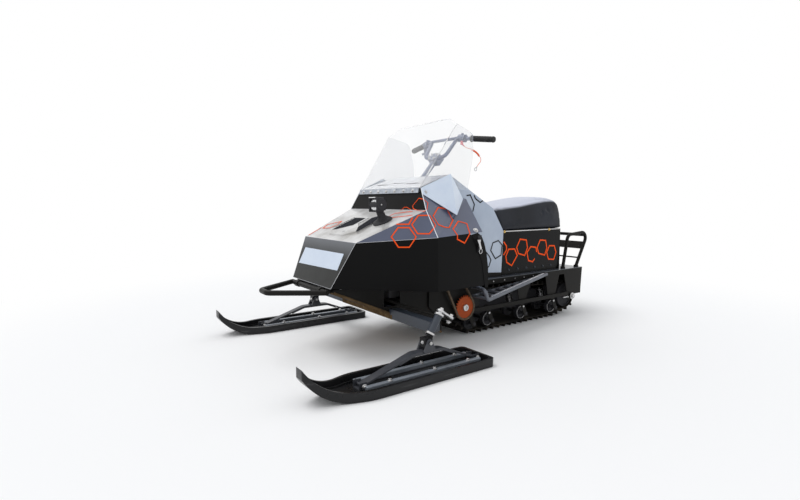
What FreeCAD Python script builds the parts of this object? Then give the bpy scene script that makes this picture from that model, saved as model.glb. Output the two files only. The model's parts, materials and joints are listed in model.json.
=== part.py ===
"""Two-ski utility snowmobile with a folded-plate hood, chain-driven track and box seat.

Millimetres. +X is forward, +Y is the rider's left, +Z is up and z = 0 is the snow.
Stations along the machine are first taken from the bottom edge of the nose and are
moved at the end so that the origin lies under the middle of the whole outline.
"""
import FreeCAD, Part
import math
import os

V = FreeCAD.Vector

# Driving sizes of the hood, from the bottom edge of the nose
nose_bottom_z = 362.0
nose_bottom_half = 224.0
nose_top_x = -104.0
nose_top_half = 283.0
nose_top_z = 578.0
bend_low_x = -512.0
bend_tuck = 21.0
bend_low_z = 319.0
bend_top_x = -489.0
bend_top_half = 421.0
bend_top_z = 595.0
bend_low_half = bend_top_half - bend_tuck
rear_edge_x = -845.0
rear_low_z = 320.0
rear_top_z = 614.0
rear_corner_radius = 105.0
cowl_foot_x = -451.0
cowl_foot_half = 375.0
cowl_foot_z = 729.0
cowl_head_x = -476.0
cowl_head_half = 300.0
cowl_head_z = 841.0
facet_apex_x = -850.0
facet_apex_z = 788.0
crease_share = 0.72
sheet = 4.0
hood_gap = 8.0

# Dash cover, side shells, strip, windshield
dash_rear_x = -680.0
dash_rear_half = 262.0
dash_rear_z = 915.0
dash_front_half = 286.0
dash_lip = 14.0
shell_peak_x = -655.0
shell_peak_out = 22.0
shell_peak_z = 917.0
shell_rear_x = -806.0
shell_rear_stand = 10.9
shell_rear_z = 788.0
shell_low_x = -683.0
shell_low_stand = 13.8
shell_low_z = 702.0
shell_front_share = 0.3
strip_height = 26.0
strip_thick = 3.0
glass_thick = 4.0
glass_fold = (-694.0, 320.0, 1178.0)
glass_crown_half = 236.0
glass_crown_rise = 50.0
glass_crown_radius = 110.0
glass_foot_drop = 22.0
glass_lift = 1.5
glass_corner_radius = 45.0
wing_rear = (-846.0, 249.0, 838.0)
wing_back_x = -858.0
wing_back_z = 1015.0
wing_head_x = -838.0
wing_head_z = 1140.0
seam_gap = 0.3

# Headlamp and hood latches
lamp_x = -285.0
lamp_y = 190.0
lamp_z = 757.0
lamp_depth = 56.0
lamp_width = 74.0
lamp_height = 74.0
lamp_corner = 10.0
lamp_bezel = 6.0
lamp_recess = 10.0
lamp_divider = 4.0
lamp_fin = 3.0
lamp_fin_depth = 12.0
lamp_fins = 7
lamp_foot_radius = 42.0
lamp_foot_thick = 10.0
lamp_cone_height = 18.0
lamp_neck_radius = 20.0
latch_x = -772.0
latch_z = 552.0
latch_width = 26.0
latch_height = 90.0
latch_depth = 7.0

# Hood top: a raised field with two louvred vents, measured back from the nose's top edge
vent_tip_back = 108.0
vent_tip_half = 146.0
vent_root_back = 186.0
vent_inner_half = 20.0
vent_rear_back = 256.0
vent_outer_half = 128.0
field_front_back = 44.0
field_front_half = 74.0
field_margin = 12.0
field_rear_margin = 6.0
field_height = 7.0
field_bevel = 7.0
louvre_count = 9
louvre_thick = 2.0
louvre_lean = 9.0

# Slots in the dash cover
dash_slot_half = 63.0
dash_slot_width = 8.0
dash_slots = ((-573.0, 0.0), (-542.0, 150.0), (-542.0, -150.0))

# Belly pan and bumper
belly_front_x = -20.0
belly_front_half = 213.0
belly_rear_x = -652.0
belly_rear_z = 60.0
belly_sheet = 3.0
belly_front_rise = 13.0
belly_top_z = 352.0
bumper_reach = 254.0
bumper_radius = 13.0
bumper_bend = 36.0
bumper_nose_half = 44.0
bumper_foot_x = 11.0
bumper_foot_half = 205.0
bumper_lug = 20.0
sleeve_half = 130.0
sleeve_width = 36.0
sleeve_wall = 4.0
strap_height = 44.0
bumper_z = 342.0

# Engine and its bearers
engine_front_x = -372.0
engine_rear_x = -600.0
engine_half = 160.0
engine_low_z = 262.0
engine_top_z = 430.0
engine_foot = 30.0
cylinder_x = -530.0
cylinder_half = 42.0
cylinder_top_z = 540.0
cylinder_fin = 3.0
cylinder_fin_reach = 12.0
cylinder_fins = 7

# Tunnel: deck and side plates
deck_rear_x = -1933.0
deck_top_z = 322.0
deck_sheet = 4.0
plate_sheet = 4.0
plate_low_z = 140.0
plate_front_x = -560.0
plate_front_low_z = 110.0
rail_x_front = -855.0
rail_x_rear = -1768.0
rail_z = 152.0
rail_height = 24.0
rail_depth = 12.0
window_low_z = 148.0
window_top_z = 288.0
window_fronts = ((-930.0, -954.0), (-1335.0, -1400.0), (-1637.0, -1678.0))
window_rears = ((-1285.0, -1250.0), (-1565.0, -1535.0), (-1770.0, -1731.0))
plate_step = 12.0
plate_nose = 70.0
tab_half = 44.0
tab_drop = 24.0
flap_thick = 4.0
flap_inset = 3.0
hitch_reach = 55.0
hitch_half = 30.0
hitch_thick = 8.0
hitch_hole = 8.0

# Track, its wheels and its drive
track_half = 228.0
tunnel_gap = 34.0
deck_half = track_half + tunnel_gap + plate_sheet
belt = 6.0
lug_height = 18.0
lug_foot = 17.0
lug_tip = 9.0
lug_count = 50
drive_x = -800.0
drive_z = 182.0
drive_radius = 84.0
guide_x = -905.0
roller_radius = 42.0
roller_first_x = -1057.0
roller_pitch = 303.0
roller_count = 3
idler_x = -1811.0
idler_z = 131.0
idler_radius = 82.0
wheel_width = 24.0
wheel_gap = 0.3
hub_radius = 16.0
axle_radius = 10.0
wheel_inner_y = 95.0
sprocket_teeth = 26
chain_pitch = 15.875
sprocket_thick = 6.0
sprocket_stand = 22.0
sprocket_y = deck_half + sprocket_stand
engine_sprocket_teeth = 19
chain_run = 330.0
chain_angle = 30.0
chain_half_depth = 7.0
chain_edge_share = 0.85
chain_plate = 1.5
chain_fit = 0.6
roller_length = 7.0
chain_roller_radius = 5.0
tooth_rise = 4.0
tooth_share = 0.25
wheel_recess = 8.0
wheel_rim = 7.0
arm_reach = 60.0

# Console, seat box, seat and rear rack
console_half = 225.5
console_front_x = -715.0
console_front_z = 878.0
console_peak_x = -748.0
console_peak_z = 912.0
console_seat_x = -1076.0
console_seat_z = 734.0
console_rear_x = -1170.0
console_rear_z = 596.0
console_foot_x = -1157.0
box_half = 218.0
box_rear_x = -1740.0
box_top_z = 596.0
seat_half = 226.0
seat_front_x = -1084.0
seat_rear_x = -1745.0
seat_peak_z = 803.0
seat_front_z = 722.0
seat_peak_x = -1330.0
seat_lift = 0.4
rack_inset = 30.0
rack_half = deck_half - rack_inset
rack_radius = 11.0
rack_front_x = -1755.0
rack_corner_x = -1800.0
rack_top_z = 548.0
rack_rear_x = -2036.0
rack_rear_z = 566.0
rack_foot_x = -1905.0
rack_bend = 42.0
rack_plate_height = 55.0
rack_plate_thick = 5.0
rack_plate_share = 0.6
rack_rod_radius = 5.0
rack_rod_share = 0.25
column_way = 10.0
box_lap = 16.0
seat_step = 18.0

# Footboards
board_width = 152.0
board_outer = deck_half + board_width
board_front_x = -848.0
board_front_z = 240.0
board_rear_x = -1527.0
board_rear_z = 306.0
board_sheet = 5.0
board_tube = 11.0
board_head_x = -823.0
board_head_z = 297.0
board_root_x = -872.0
board_bend = 22.0
board_flange = 4.0
slot_count = 9
slot_share = 0.56
slot_edge = 14.0
tread_height = 7.0
tread_thick = 3.0
tread_tooth = 12.0

# Front beam, kingpins, spindles and skis
beam_x = -350.0
beam_depth = 52.0
beam_top_z = 228.0
beam_low_z = 178.0
beam_wall = 4.0
kingpin_y = 583.0
pivot_x = -290.0
pivot_z = 147.0
kingpin_angle = 33.0
kingpin_low = 36.0
kingpin_length = 104.0
kingpin_radius = 17.0
collar_radius = 23.0
collar_height = 9.0
stem_radius = 11.0
running_fit = 0.05
arm_length = 70.0
arm_width = 30.0
arm_thick = 8.0
stud_radius = 6.0
fork_half = 21.0
fork_pin = 8.0
ski_half = 114.0
ski_rear_x = -616.0
ski_flat_x = 120.0
ski_tip_x = 318.0
ski_tip_z = 150.0
ski_tip_half = 34.0
ski_rim = 40.0
ski_floor = 12.0
ski_wall = 16.0
ski_front_radius = 260.0
bow_half = 21.0
bow_thick = 8.0
bow_front_x = 55.0
bow_rear_x = -576.0
bow_top_z = 112.0
bow_flat = 80.0
ear_thick = 8.0
ear_height = 62.0
ear_length = 64.0
ear_gap = 1.0
ski_curl_share = 0.55
ski_rise_share = 0.24
ski_corner = 24.0
rib_out = 36.0
rib_width = 7.0
rib_height = 8.0
runner_out = 48.0
runner_width = 22.0
runner_thick = 5.0
bracket_wall = 5.0
bracket_height = 30.0
bracket_half = 18.0
bracket_bolt = 5.0
leaf_share = 0.3
leaf_thick = 6.0
rod_radius = 7.0
eye_radius = 13.0
eye_thick = 12.0
pitman_gap = 3.0
eye_space = 6.0
slot_margin = 20.0

# Steering
column_foot_z = 340.0
column_clamp_x = -820.0
column_clamp_z = 1022.0
column_ref_x = -724.0
column_ref_z = 911.0
column_radius = 16.0
bar_radius = 11.0
bar_rise_x = -888.0
bar_rise_half = 112.0
bar_rise_z = 1141.0
bar_knee_x = -815.0
bar_knee_half = 95.0
bar_knee_z = 1040.0
bar_end_x = -929.0
bar_end_half = 358.0
bar_end_z = 1110.0
grip_half = 212.0
grip_radius = 15.5
cross_bar_radius = 9.0
bar_bend = 24.0
clamp_depth = 52.0
clamp_width = 64.0
kill_switch_half = 148.0
throttle_half = 178.0
control_width = 46.0
control_radius = 22.0
button_radius = 7.0
button_height = 7.0
thumb_length = 62.0
thumb_width = 14.0
thumb_thick = 4.0
support_z = 730.0
support_height = 22.0
support_wall = 7.0
support_leg = 11.0
support_foot_x = -688.0
support_foot_half = 190.0
lower_bearing_z = 392.0

# Throttle cable: leaves the throttle block downwards and follows the column's right side
cable_radius = 2.5
cable_route = ((-899.0, -172.0, 1118.0), (-900.0, -168.0, 1084.0), (-884.0, -142.0, 1054.0),
               (-852.0, -96.0, 1024.0), (-815.0, -48.0, 1000.0))
cable_high_z = 978.0
cable_low_z = 872.0

# Kill switch lanyard: distances out from the clip and heights, in an upright plane that
# is turned back from straight out
cord_reach_share = 0.45
lanyard_radius = 1.5
lanyard_coil_radius = 6.0
lanyard_turn_angle = 40.4
lanyard_x = -886.0
lanyard_y = 158.0
lanyard_upper_route = ((8.0, 1092.0), (17.0, 1084.0), (30.0, 1078.0), (44.0, 1075.0), (54.0, 1069.5))
lanyard_coil_route = ((54.0, 1069.5), (70.0, 1060.7), (86.0, 1048.0), (98.0, 1031.0))
lanyard_lower_route = ((98.0, 1031.0), (105.2, 1020.8), (107.0, 1007.0), (101.0, 994.0), (91.0, 984.0),
                       (85.0, 972.5))
clip_radius = 8.0
clip_height = 18.0
clip_neck = 16.0
clip_neck_radius = 4.0
hook_swivel = 8.0
hook_radius = 9.0
hook_wire = 1.8


def mm(point):
    """Turn a triple into a vector."""
    return V(*point)


def mirrored(shape):
    """The same piece on the other side of the machine."""
    return shape.mirror(V(0, 0, 0), V(0, 1, 0))


def both(shape):
    """A left piece and its right twin as one set of solids."""
    return Part.makeCompound([shape, mirrored(shape)])


def box(x0, x1, y0, y1, z0, z1):
    """A block between two corners."""
    low = V(min(x0, x1), min(y0, y1), min(z0, z1))
    return Part.makeBox(abs(x1 - x0), abs(y1 - y0), abs(z1 - z0), low)


def rod(start, end, radius):
    """A round bar between two points."""
    run = end - start
    return Part.makeCylinder(radius, run.Length, start, run)


def disc(x, z, y0, y1, radius):
    """A round piece whose axle runs across the machine."""
    return Part.makeCylinder(radius, abs(y1 - y0), V(x, min(y0, y1), z), V(0, 1, 0))


def side_prism(points, y0, y1):
    """Extrude a side-view outline of (x, z) points across the machine."""
    ring = [V(x, y0, z) for x, z in points]
    face = Part.Face(Part.makePolygon(ring + ring[:1]))
    return face.extrude(V(0, y1 - y0, 0))


def top_prism(points, z0, z1):
    """Extrude a plan outline of (x, y) points upwards."""
    ring = [V(x, y, z0) for x, y in points]
    face = Part.Face(Part.makePolygon(ring + ring[:1]))
    return face.extrude(V(0, 0, z1 - z0))


def rounded_ring(points, radii):
    """A closed wire through the points with its corners rounded by arcs."""
    edges = []
    count = len(points)
    starts = []
    ends = []
    for i in range(count):
        corner = points[i]
        before = (points[i - 1] - corner).normalize()
        after = (points[(i + 1) % count] - corner).normalize()
        radius = radii[i]
        if radius <= 0:
            starts.append(corner)
            ends.append(corner)
            edges.append(None)
            continue
        half = before.getAngle(after) / 2
        reach = radius / math.tan(half)
        middle = (before + after).normalize()
        centre = corner + middle * (radius / math.sin(half))
        starts.append(corner + before * reach)
        ends.append(corner + after * reach)
        edges.append(Part.Arc(starts[i], centre - middle * radius, ends[i]).toShape())
    ring = []
    for i in range(count):
        if edges[i] is not None:
            ring.append(edges[i])
        following = starts[(i + 1) % count]
        if (following - ends[i]).Length > seam_gap / count:
            ring.append(Part.LineSegment(ends[i], following).toShape())
    return Part.Wire(ring)


def corner_point(before, corner, after, bend):
    """Middle of the arc that rounds a corner."""
    one = (before - corner).normalize()
    two = (after - corner).normalize()
    half = one.getAngle(two) / 2
    return corner + (one + two).normalize() * (bend / math.sin(half) - bend)


def bent_tube(points, radius, bend):
    """A round tube along straight runs joined by tangent arcs."""
    edges = []
    cursor = points[0]
    for i in range(1, len(points) - 1):
        corner = points[i]
        before = (points[i - 1] - corner).normalize()
        after = (points[i + 1] - corner).normalize()
        half = before.getAngle(after) / 2
        reach = bend / math.tan(half)
        middle = (before + after).normalize()
        centre = corner + middle * (bend / math.sin(half))
        edges.append(Part.LineSegment(cursor, corner + before * reach).toShape())
        arc = Part.Arc(corner + before * reach, centre - middle * bend, corner + after * reach)
        edges.append(arc.toShape())
        cursor = corner + after * reach
    edges.append(Part.LineSegment(cursor, points[-1]).toShape())
    path = Part.Wire(edges)
    ring = Part.Wire(Part.makeCircle(radius, points[0], points[1] - points[0]))
    return path.makePipeShell([ring], True, False)


def edge_order(point):
    """Sort key that makes two panels split their shared edge the same way."""
    return (round(point.x, 3), round(point.z, 3), round(abs(point.y), 3), point.y)


def facet_solid(outer, inner):
    """A plate with flat triangles between an outer and an inner ring of corners."""
    count = len(outer)
    faces = []

    def triangle(a, b, c):
        faces.append(Part.Face(Part.makePolygon([a, b, c, a])))

    for i in range(1, count - 1):
        triangle(outer[0], outer[i], outer[i + 1])
        triangle(inner[0], inner[i + 1], inner[i])
    for i in range(count):
        j = (i + 1) % count
        if edge_order(outer[i]) < edge_order(outer[j]):
            triangle(outer[i], inner[i], inner[j])
            triangle(outer[i], inner[j], outer[j])
        else:
            triangle(outer[i], inner[i], outer[j])
            triangle(inner[i], inner[j], outer[j])
    solid = Part.makeSolid(Part.makeShell(faces))
    if solid.Volume < 0:
        solid.reverse()
    return solid


def normal(a, b, c):
    """Unit normal of a triangle that points away from the middle of the hood."""
    direction = (b - a).cross(c - a).normalize()
    middle = V(cowl_foot_x, 0, bend_top_z - nose_bottom_half)
    if direction.dot(a - middle) < 0:
        direction = direction * -1
    return direction


def inset(point, normals, thick):
    """The point that lies under every given face by the sheet's thickness."""
    if len(normals) == 1:
        return point - normals[0] * thick
    if len(normals) == 2:
        a, b = normals
        return point - (a + b) * (thick / (1 + a.dot(b)))
    a, b, c = normals
    spread = b.cross(c) + c.cross(a) + a.cross(b)
    return point - spread * (thick / a.dot(b.cross(c)))


def hood_corners():
    """Outer corners of the left half of the hood by name."""
    half_rise = (bend_top_half - bend_low_half) / (bend_top_z - bend_low_z)
    rear_top_half = bend_low_half + half_rise * (rear_top_z - bend_low_z)
    rear_low_half = bend_low_half + half_rise * (rear_low_z - bend_low_z)
    corner = {
        "nose_low": V(0, nose_bottom_half, nose_bottom_z),
        "nose_top": V(nose_top_x, nose_top_half, nose_top_z),
        "bend_low": V(bend_low_x, bend_low_half, bend_low_z),
        "bend_top": V(bend_top_x, bend_top_half, bend_top_z),
        "rear_low": V(rear_edge_x, rear_low_half, rear_low_z),
        "rear_top": V(rear_edge_x + rear_corner_radius / 2, rear_top_half, rear_top_z),
        "cowl_foot": V(cowl_foot_x, cowl_foot_half, cowl_foot_z),
        "cowl_head": V(cowl_head_x, cowl_head_half, cowl_head_z),
        "apex": V(facet_apex_x, console_half + hood_gap, facet_apex_z),
    }
    run = corner["apex"] - corner["cowl_head"]
    corner["crease"] = corner["cowl_head"] + run * crease_share
    return corner


HOOD = hood_corners()


def flip(point):
    """A hood corner on the right side."""
    return V(point.x, -point.y, point.z)


def hood_faces():
    """Unit normals of the hood's flat panels on the left side."""
    c = HOOD
    return {
        "nose": normal(c["nose_low"], c["nose_top"], flip(c["nose_top"])),
        "side_front": normal(c["nose_low"], c["bend_low"], c["bend_top"]),
        "side_rear": normal(c["bend_low"], c["bend_top"], c["rear_low"]),
        "top": normal(c["nose_top"], c["cowl_foot"], flip(c["nose_top"])),
        "front_facet": normal(c["nose_top"], c["bend_top"], c["cowl_foot"]),
        "cowl": normal(c["cowl_foot"], c["cowl_head"], flip(c["cowl_foot"])),
        "cheek": normal(c["cowl_foot"], c["cowl_head"], c["crease"]),
        "crease_front": normal(c["cowl_foot"], c["bend_top"], c["crease"]),
        "crease_rear": normal(c["bend_top"], c["apex"], c["crease"]),
        "rear_facet": normal(c["bend_top"], c["rear_top"], c["apex"]),
    }


FACE = hood_faces()


def hood_inner():
    """Inner corners of the hood sheet, shared by the panels that meet there."""
    meets = {
        "nose_low": ("nose", "side_front"),
        "nose_top": ("nose", "side_front", "top"),
        "bend_low": ("side_front", "side_rear"),
        "bend_top": ("side_front", "side_rear", "front_facet"),
        "rear_low": ("side_rear",),
        "rear_top": ("side_rear", "rear_facet"),
        "cowl_foot": ("top", "cowl", "front_facet"),
        "cowl_head": ("cowl", "cheek"),
        "apex": ("rear_facet",),
        "crease": ("crease_front", "crease_rear"),
    }
    return {name: inset(HOOD[name], [FACE[f] for f in faces], sheet) for name, faces in meets.items()}


INNER = hood_inner()


def centre_panel(low, high):
    """A hood panel that crosses the machine between two pairs of corners."""
    outer = [HOOD[low], HOOD[high], flip(HOOD[high]), flip(HOOD[low])]
    inner = [INNER[low], INNER[high], flip(INNER[high]), flip(INNER[low])]
    return facet_solid(outer, inner)


def shrunk(points, margin):
    """A convex outline drawn in by a margin all round."""
    result = []
    count = len(points)
    for i in range(count):
        one = (points[i - 1] - points[i]).normalize()
        two = (points[(i + 1) % count] - points[i]).normalize()
        half = one.getAngle(two) / 2
        result.append(points[i] + (one + two).normalize() * (margin / math.sin(half)))
    return result


def hood_top_place():
    """Placement of a drawing whose x runs forward down the hood's top and whose z stands out of it."""
    forward = V(nose_top_x - cowl_foot_x, 0, nose_top_z - cowl_foot_z).normalize()
    turn = FreeCAD.Rotation(forward, V(0, 1, 0), FACE["top"], "ZXY")
    return FreeCAD.Placement(V(nose_top_x, 0, nose_top_z), turn)


def vent_outline():
    """Corners of the left vent in the drawing of the hood's top."""
    return [V(-vent_tip_back, vent_tip_half, 0), V(-vent_rear_back, vent_outer_half, 0),
            V(-vent_rear_back, vent_inner_half, 0), V(-vent_root_back, vent_inner_half, 0)]


def louvred_vent():
    """The left vent as a hole through the sheet and the leaning blades that stand in it."""
    ring = [p - V(0, 0, sheet + seam_gap) for p in vent_outline()]
    depth = V(0, 0, sheet + field_height + seam_gap * 2)
    hole = Part.Face(Part.makePolygon(ring + ring[:1])).extrude(depth)
    blades = []
    pitch = (vent_rear_back - vent_tip_back) / louvre_count
    for i in range(louvre_count):
        back = -vent_tip_back - pitch * (i + 1 / 2)
        outline = [(back, -sheet), (back + louvre_thick, -sheet),
                   (back + louvre_thick - louvre_lean, field_height - louvre_thick),
                   (back - louvre_lean, field_height - louvre_thick)]
        blades.append(side_prism(outline, 0, vent_tip_half).common(hole))
    return hole, blades


def hood_top():
    """The sloping top sheet with its raised field and two louvred vents."""
    left = [V(-field_front_back, field_front_half, 0), V(-vent_tip_back, vent_tip_half + field_margin, 0),
            V(-vent_rear_back - field_rear_margin, vent_outer_half + field_margin, 0)]
    outer = left + [flip(p) for p in reversed(left)]
    raised = [p + V(0, 0, field_height) for p in shrunk(outer, field_bevel)]
    sunk = [p - V(0, 0, sheet / 2) for p in outer]
    field = facet_solid(raised, sunk)
    hole, blades = louvred_vent()
    field.Placement = hood_top_place()
    pieces = []
    for piece in [hole] + blades:
        twin = mirrored(piece)
        piece.Placement = hood_top_place().multiply(piece.Placement)
        twin.Placement = hood_top_place().multiply(twin.Placement)
        pieces.append([piece, twin])
    panel = centre_panel("nose_top", "cowl_foot").fuse(field).cut(pieces[0])
    return panel.fuse([blade for pair in pieces[1:] for blade in pair])


def side_panel(*names):
    """A hood panel on the left side between named corners."""
    return facet_solid([HOOD[n] for n in names], [INNER[n] for n in names])


def hood_side_panel():
    """The black side sheet: folded at the bend, with a rounded rear top corner."""
    front = side_panel("nose_low", "nose_top", "bend_top", "bend_low")
    rear = side_panel("bend_low", "bend_top", "rear_top", "rear_low")
    panel = front.fuse(rear)
    top = HOOD["rear_top"]
    low = HOOD["rear_low"]
    edge = (low - top)
    start = V(top.x + rear_corner_radius, 0, top.z)
    end = V(top.x, 0, top.z) + V(edge.x, 0, edge.z) * (rear_corner_radius * 2 / edge.Length)
    knee = V(top.x - seam_gap, 0, top.z - rear_corner_radius / 2)
    arc = Part.Arc(start, V((start.x + knee.x) / 2, 0, (start.z + knee.z * 2) / 3), end).toShape()
    corner = V(low.x - rear_corner_radius, 0, top.z + rear_corner_radius)
    above = V(start.x, 0, corner.z)
    behind = V(corner.x, 0, end.z)
    ring = [arc]
    for a, b in ((end, behind), (behind, corner), (corner, above), (above, start)):
        ring.append(Part.LineSegment(a, b).toShape())
    cutter = Part.Face(Part.Wire(ring)).extrude(V(0, top.y * 2, 0))
    return panel.cut(cutter)


def hood_rear_facet():
    """The grey sheet behind the seam, creased from the bend to the cheek."""
    cheek = side_panel("cowl_foot", "cowl_head", "crease")
    front = side_panel("bend_top", "cowl_foot", "crease")
    middle = side_panel("bend_top", "crease", "apex")
    rear = side_panel("bend_top", "apex", "rear_top")
    return cheek.fuse([front, middle, rear])


def plane_plate(points, radii, thick, outward):
    """A flat plate with rounded corners; its thickness lies behind the given side."""
    face = Part.Face(rounded_ring(points, radii))
    return face.extrude(outward * -thick)


def dash_cover():
    """The sloped lid behind the windshield, with a lip down its rear edge and air slots in front."""
    front_x = cowl_head_x - sheet + glass_lift
    front_z = cowl_head_z + sheet + seam_gap * 2
    outer = [V(front_x, dash_front_half, front_z), V(dash_rear_x, dash_rear_half, dash_rear_z)]
    ring = outer + [flip(p) for p in reversed(outer)]
    lid = facet_solid(ring, [p - V(0, 0, sheet) for p in ring])
    lip = box(dash_rear_x, dash_rear_x + sheet, -dash_rear_half, dash_rear_half,
              dash_rear_z - sheet - dash_lip, dash_rear_z - sheet)
    slots = []
    for x, y in dash_slots:
        slots.append(box(x - dash_slot_width / 2, x + dash_slot_width / 2, y - dash_slot_half,
                         y + dash_slot_half, cowl_head_z - sheet, dash_rear_z))
    return lid.fuse(lip).cut(slots)


def wing_plane():
    """Foot and head of the windshield's left fold and the wing's rear foot."""
    stand = FACE["cowl"] * (seam_gap + glass_thick)
    foot = V(cowl_head_x, cowl_head_half - glass_thick, cowl_head_z + glass_lift) + stand
    return foot, mm(glass_fold), mm(wing_rear)


def windshield():
    """One clear sheet: a leaning front and a wing folded back on each side."""
    foot, head, rear = wing_plane()
    rise = V(head.x - foot.x, 0, head.z - foot.z)
    tab_half = cowl_head_half - sheet * 2
    tab_top = V(foot.x, tab_half, foot.z)
    tab_low = tab_top - cowl_slope() * glass_foot_drop
    tab = plane_plate([tab_top, tab_low, flip(tab_low), flip(tab_top)], [0, 0, 0, 0], glass_thick,
                      FACE["cowl"])
    crown = V(head.x, glass_crown_half, head.z) + rise.normalize() * glass_crown_rise
    front = [foot, head, crown]
    ring = front + [flip(p) for p in reversed(front)]
    ahead = rise.cross(V(0, 1, 0)).normalize()
    if ahead.x < 0:
        ahead = ahead * -1
    face = plane_plate(ring, [0, 0, glass_crown_radius, glass_crown_radius, 0, 0], glass_thick, ahead)
    side = (head - foot).cross(rear - foot).normalize()
    if side.y < 0:
        side = side * -1
    back = []
    for x, z in ((wing_head_x, wing_head_z), (wing_back_x, wing_back_z)):
        y = foot.y - (side.x * (x - foot.x) + side.z * (z - foot.z)) / side.y
        back.append(V(x, y, z))
    wing = plane_plate([foot, head] + back + [rear], [0, 0, glass_corner_radius, glass_corner_radius, 0],
                       glass_thick, side)
    return face.fuse([tab, wing, mirrored(wing)])


def cowl_slope():
    """Unit direction up the cowl's front face."""
    return V(cowl_head_x - cowl_foot_x, 0, cowl_head_z - cowl_foot_z).normalize()


def cowl_strip():
    """The silver clamping strip along the foot of the windshield."""
    front = FACE["cowl"]
    half = cowl_head_half - sheet * 2
    top = V(cowl_head_x, half, cowl_head_z) + front * (glass_thick + strip_thick + seam_gap * 4)
    low = top - cowl_slope() * strip_height
    return plane_plate([top, low, flip(low), flip(top)], [0, 0, 0, 0], strip_thick, front)


def plane_half(face, corner, x, z):
    """Half width of the hood on one of its flat panels at a station and height."""
    across_x = FACE[face].x * (x - HOOD[corner].x)
    across_z = FACE[face].z * (z - HOOD[corner].z)
    return HOOD[corner].y - (across_x + across_z) / FACE[face].y


def side_shell():
    """The pale folded shell over the foot of the left windshield wing."""
    stand = FACE["cheek"] * (sheet - seam_gap)
    head = HOOD["cowl_head"] + stand
    front = head + (HOOD["cowl_foot"] - HOOD["cowl_head"]) * shell_front_share
    peak = V(shell_peak_x, cowl_head_half + shell_peak_out, shell_peak_z)
    rear_half = plane_half("cheek", "crease", shell_rear_x, shell_rear_z)
    low_half = plane_half("cheek", "crease", shell_low_x, shell_low_z)
    rear = V(shell_rear_x, rear_half + shell_rear_stand, shell_rear_z)
    low = V(shell_low_x, low_half + shell_low_stand, shell_low_z)
    first = normal(head, peak, low)
    second = normal(peak, rear, low)
    upper = [head, peak, low, front]
    under = [inset(head, [first], sheet), inset(peak, [first, second], sheet),
             inset(low, [first, second], sheet), inset(front, [first], sheet)]
    fore = facet_solid(upper, under)
    back = facet_solid([peak, rear, low], [under[1], inset(rear, [second], sheet), under[2]])
    return fore.fuse(back)


def headlamp():
    """A square lamp: rounded housing, a sunk face with a divider, a hood lip and cooling fins behind."""
    face = lamp_x + lamp_depth / 2
    back = face - lamp_depth + lamp_fin_depth
    half = lamp_width / 2
    low = lamp_z - lamp_height / 2
    top = lamp_z + lamp_height / 2
    corners = [V(back, lamp_y - half, low), V(back, lamp_y + half, low),
               V(back, lamp_y + half, top), V(back, lamp_y - half, top)]
    outline = Part.Face(rounded_ring(corners, [lamp_corner] * 4))
    body = outline.extrude(V(face - back, 0, 0))
    well = box(face - lamp_recess, face + lamp_recess, lamp_y - half + lamp_bezel,
               lamp_y + half - lamp_bezel, low + lamp_bezel, top - lamp_bezel)
    divider = box(face - lamp_recess, face, lamp_y - half + lamp_bezel, lamp_y + half - lamp_bezel,
                  lamp_z - lamp_divider / 2, lamp_z + lamp_divider / 2)
    lip = box(face, face + lamp_bezel, lamp_y - half + lamp_corner, lamp_y + half - lamp_corner,
              top - lamp_bezel / 2, top)
    fins = []
    pitch = (lamp_width - lamp_fin - lamp_corner) / (lamp_fins - 1)
    for i in range(lamp_fins):
        y = lamp_y - half + lamp_corner / 2 + pitch * i
        fins.append(box(back - lamp_fin_depth, back, y, y + lamp_fin, low + lamp_corner, top - lamp_corner))
    return body.cut(well).fuse([divider, lip] + fins)


def lamp_bracket():
    """A round foot square to the sloping hood top, with a neck up to the lamp."""
    out = FACE["top"]
    centre = V(lamp_x, lamp_y, lamp_z)
    stand = (centre - V(nose_top_x, 0, nose_top_z)).dot(out)
    root = centre - out * (stand - seam_gap)
    foot = Part.makeCylinder(lamp_foot_radius, lamp_foot_thick, root, out)
    cone = Part.makeCone(lamp_foot_radius - lamp_foot_thick / 2, lamp_neck_radius, lamp_cone_height,
                         root + out * lamp_foot_thick, out)
    neck = Part.makeCylinder(lamp_neck_radius, stand, root + out * lamp_foot_thick, out)
    side = lamp_foot_radius * 4
    level = lamp_z - lamp_height / 2 - seam_gap
    above = box(lamp_x - side, lamp_x + side, lamp_y - side, lamp_y + side, level, level + side)
    return foot.fuse([cone, neck]).cut(above)


def hood_latch():
    """A draw latch near the rear edge of the left side panel."""
    slope = (bend_top_half - bend_low_half) / (bend_top_z - bend_low_z)
    plate = box(-latch_width / 2, latch_width / 2, seam_gap, seam_gap + latch_depth / 2,
                0, latch_height / 2)
    lever = box(-latch_width / 4, latch_width / 4, seam_gap, seam_gap + latch_depth,
                -latch_height / 2, latch_height / 3)
    latch = plate.fuse(lever)
    latch.rotate(V(0, 0, 0), V(1, 0, 0), -math.degrees(math.atan(slope)))
    latch.translate(V(latch_x, bend_low_half + slope * (latch_z - bend_low_z), latch_z))
    return latch


def belly_half(x):
    """Half width of the belly pan at a station."""
    share = (x - belly_front_x) / (belly_rear_x - belly_front_x)
    rear_half = deck_half - plate_sheet - seam_gap
    return belly_front_half + (rear_half - belly_front_half) * share


def belly_floor(x):
    """Height of the belly pan's sloping floor at a station."""
    share = (x - belly_front_x) / (belly_rear_x - belly_front_x)
    front_z = belly_top_z - belly_front_rise
    return front_z + (belly_rear_z - front_z) * share


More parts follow.
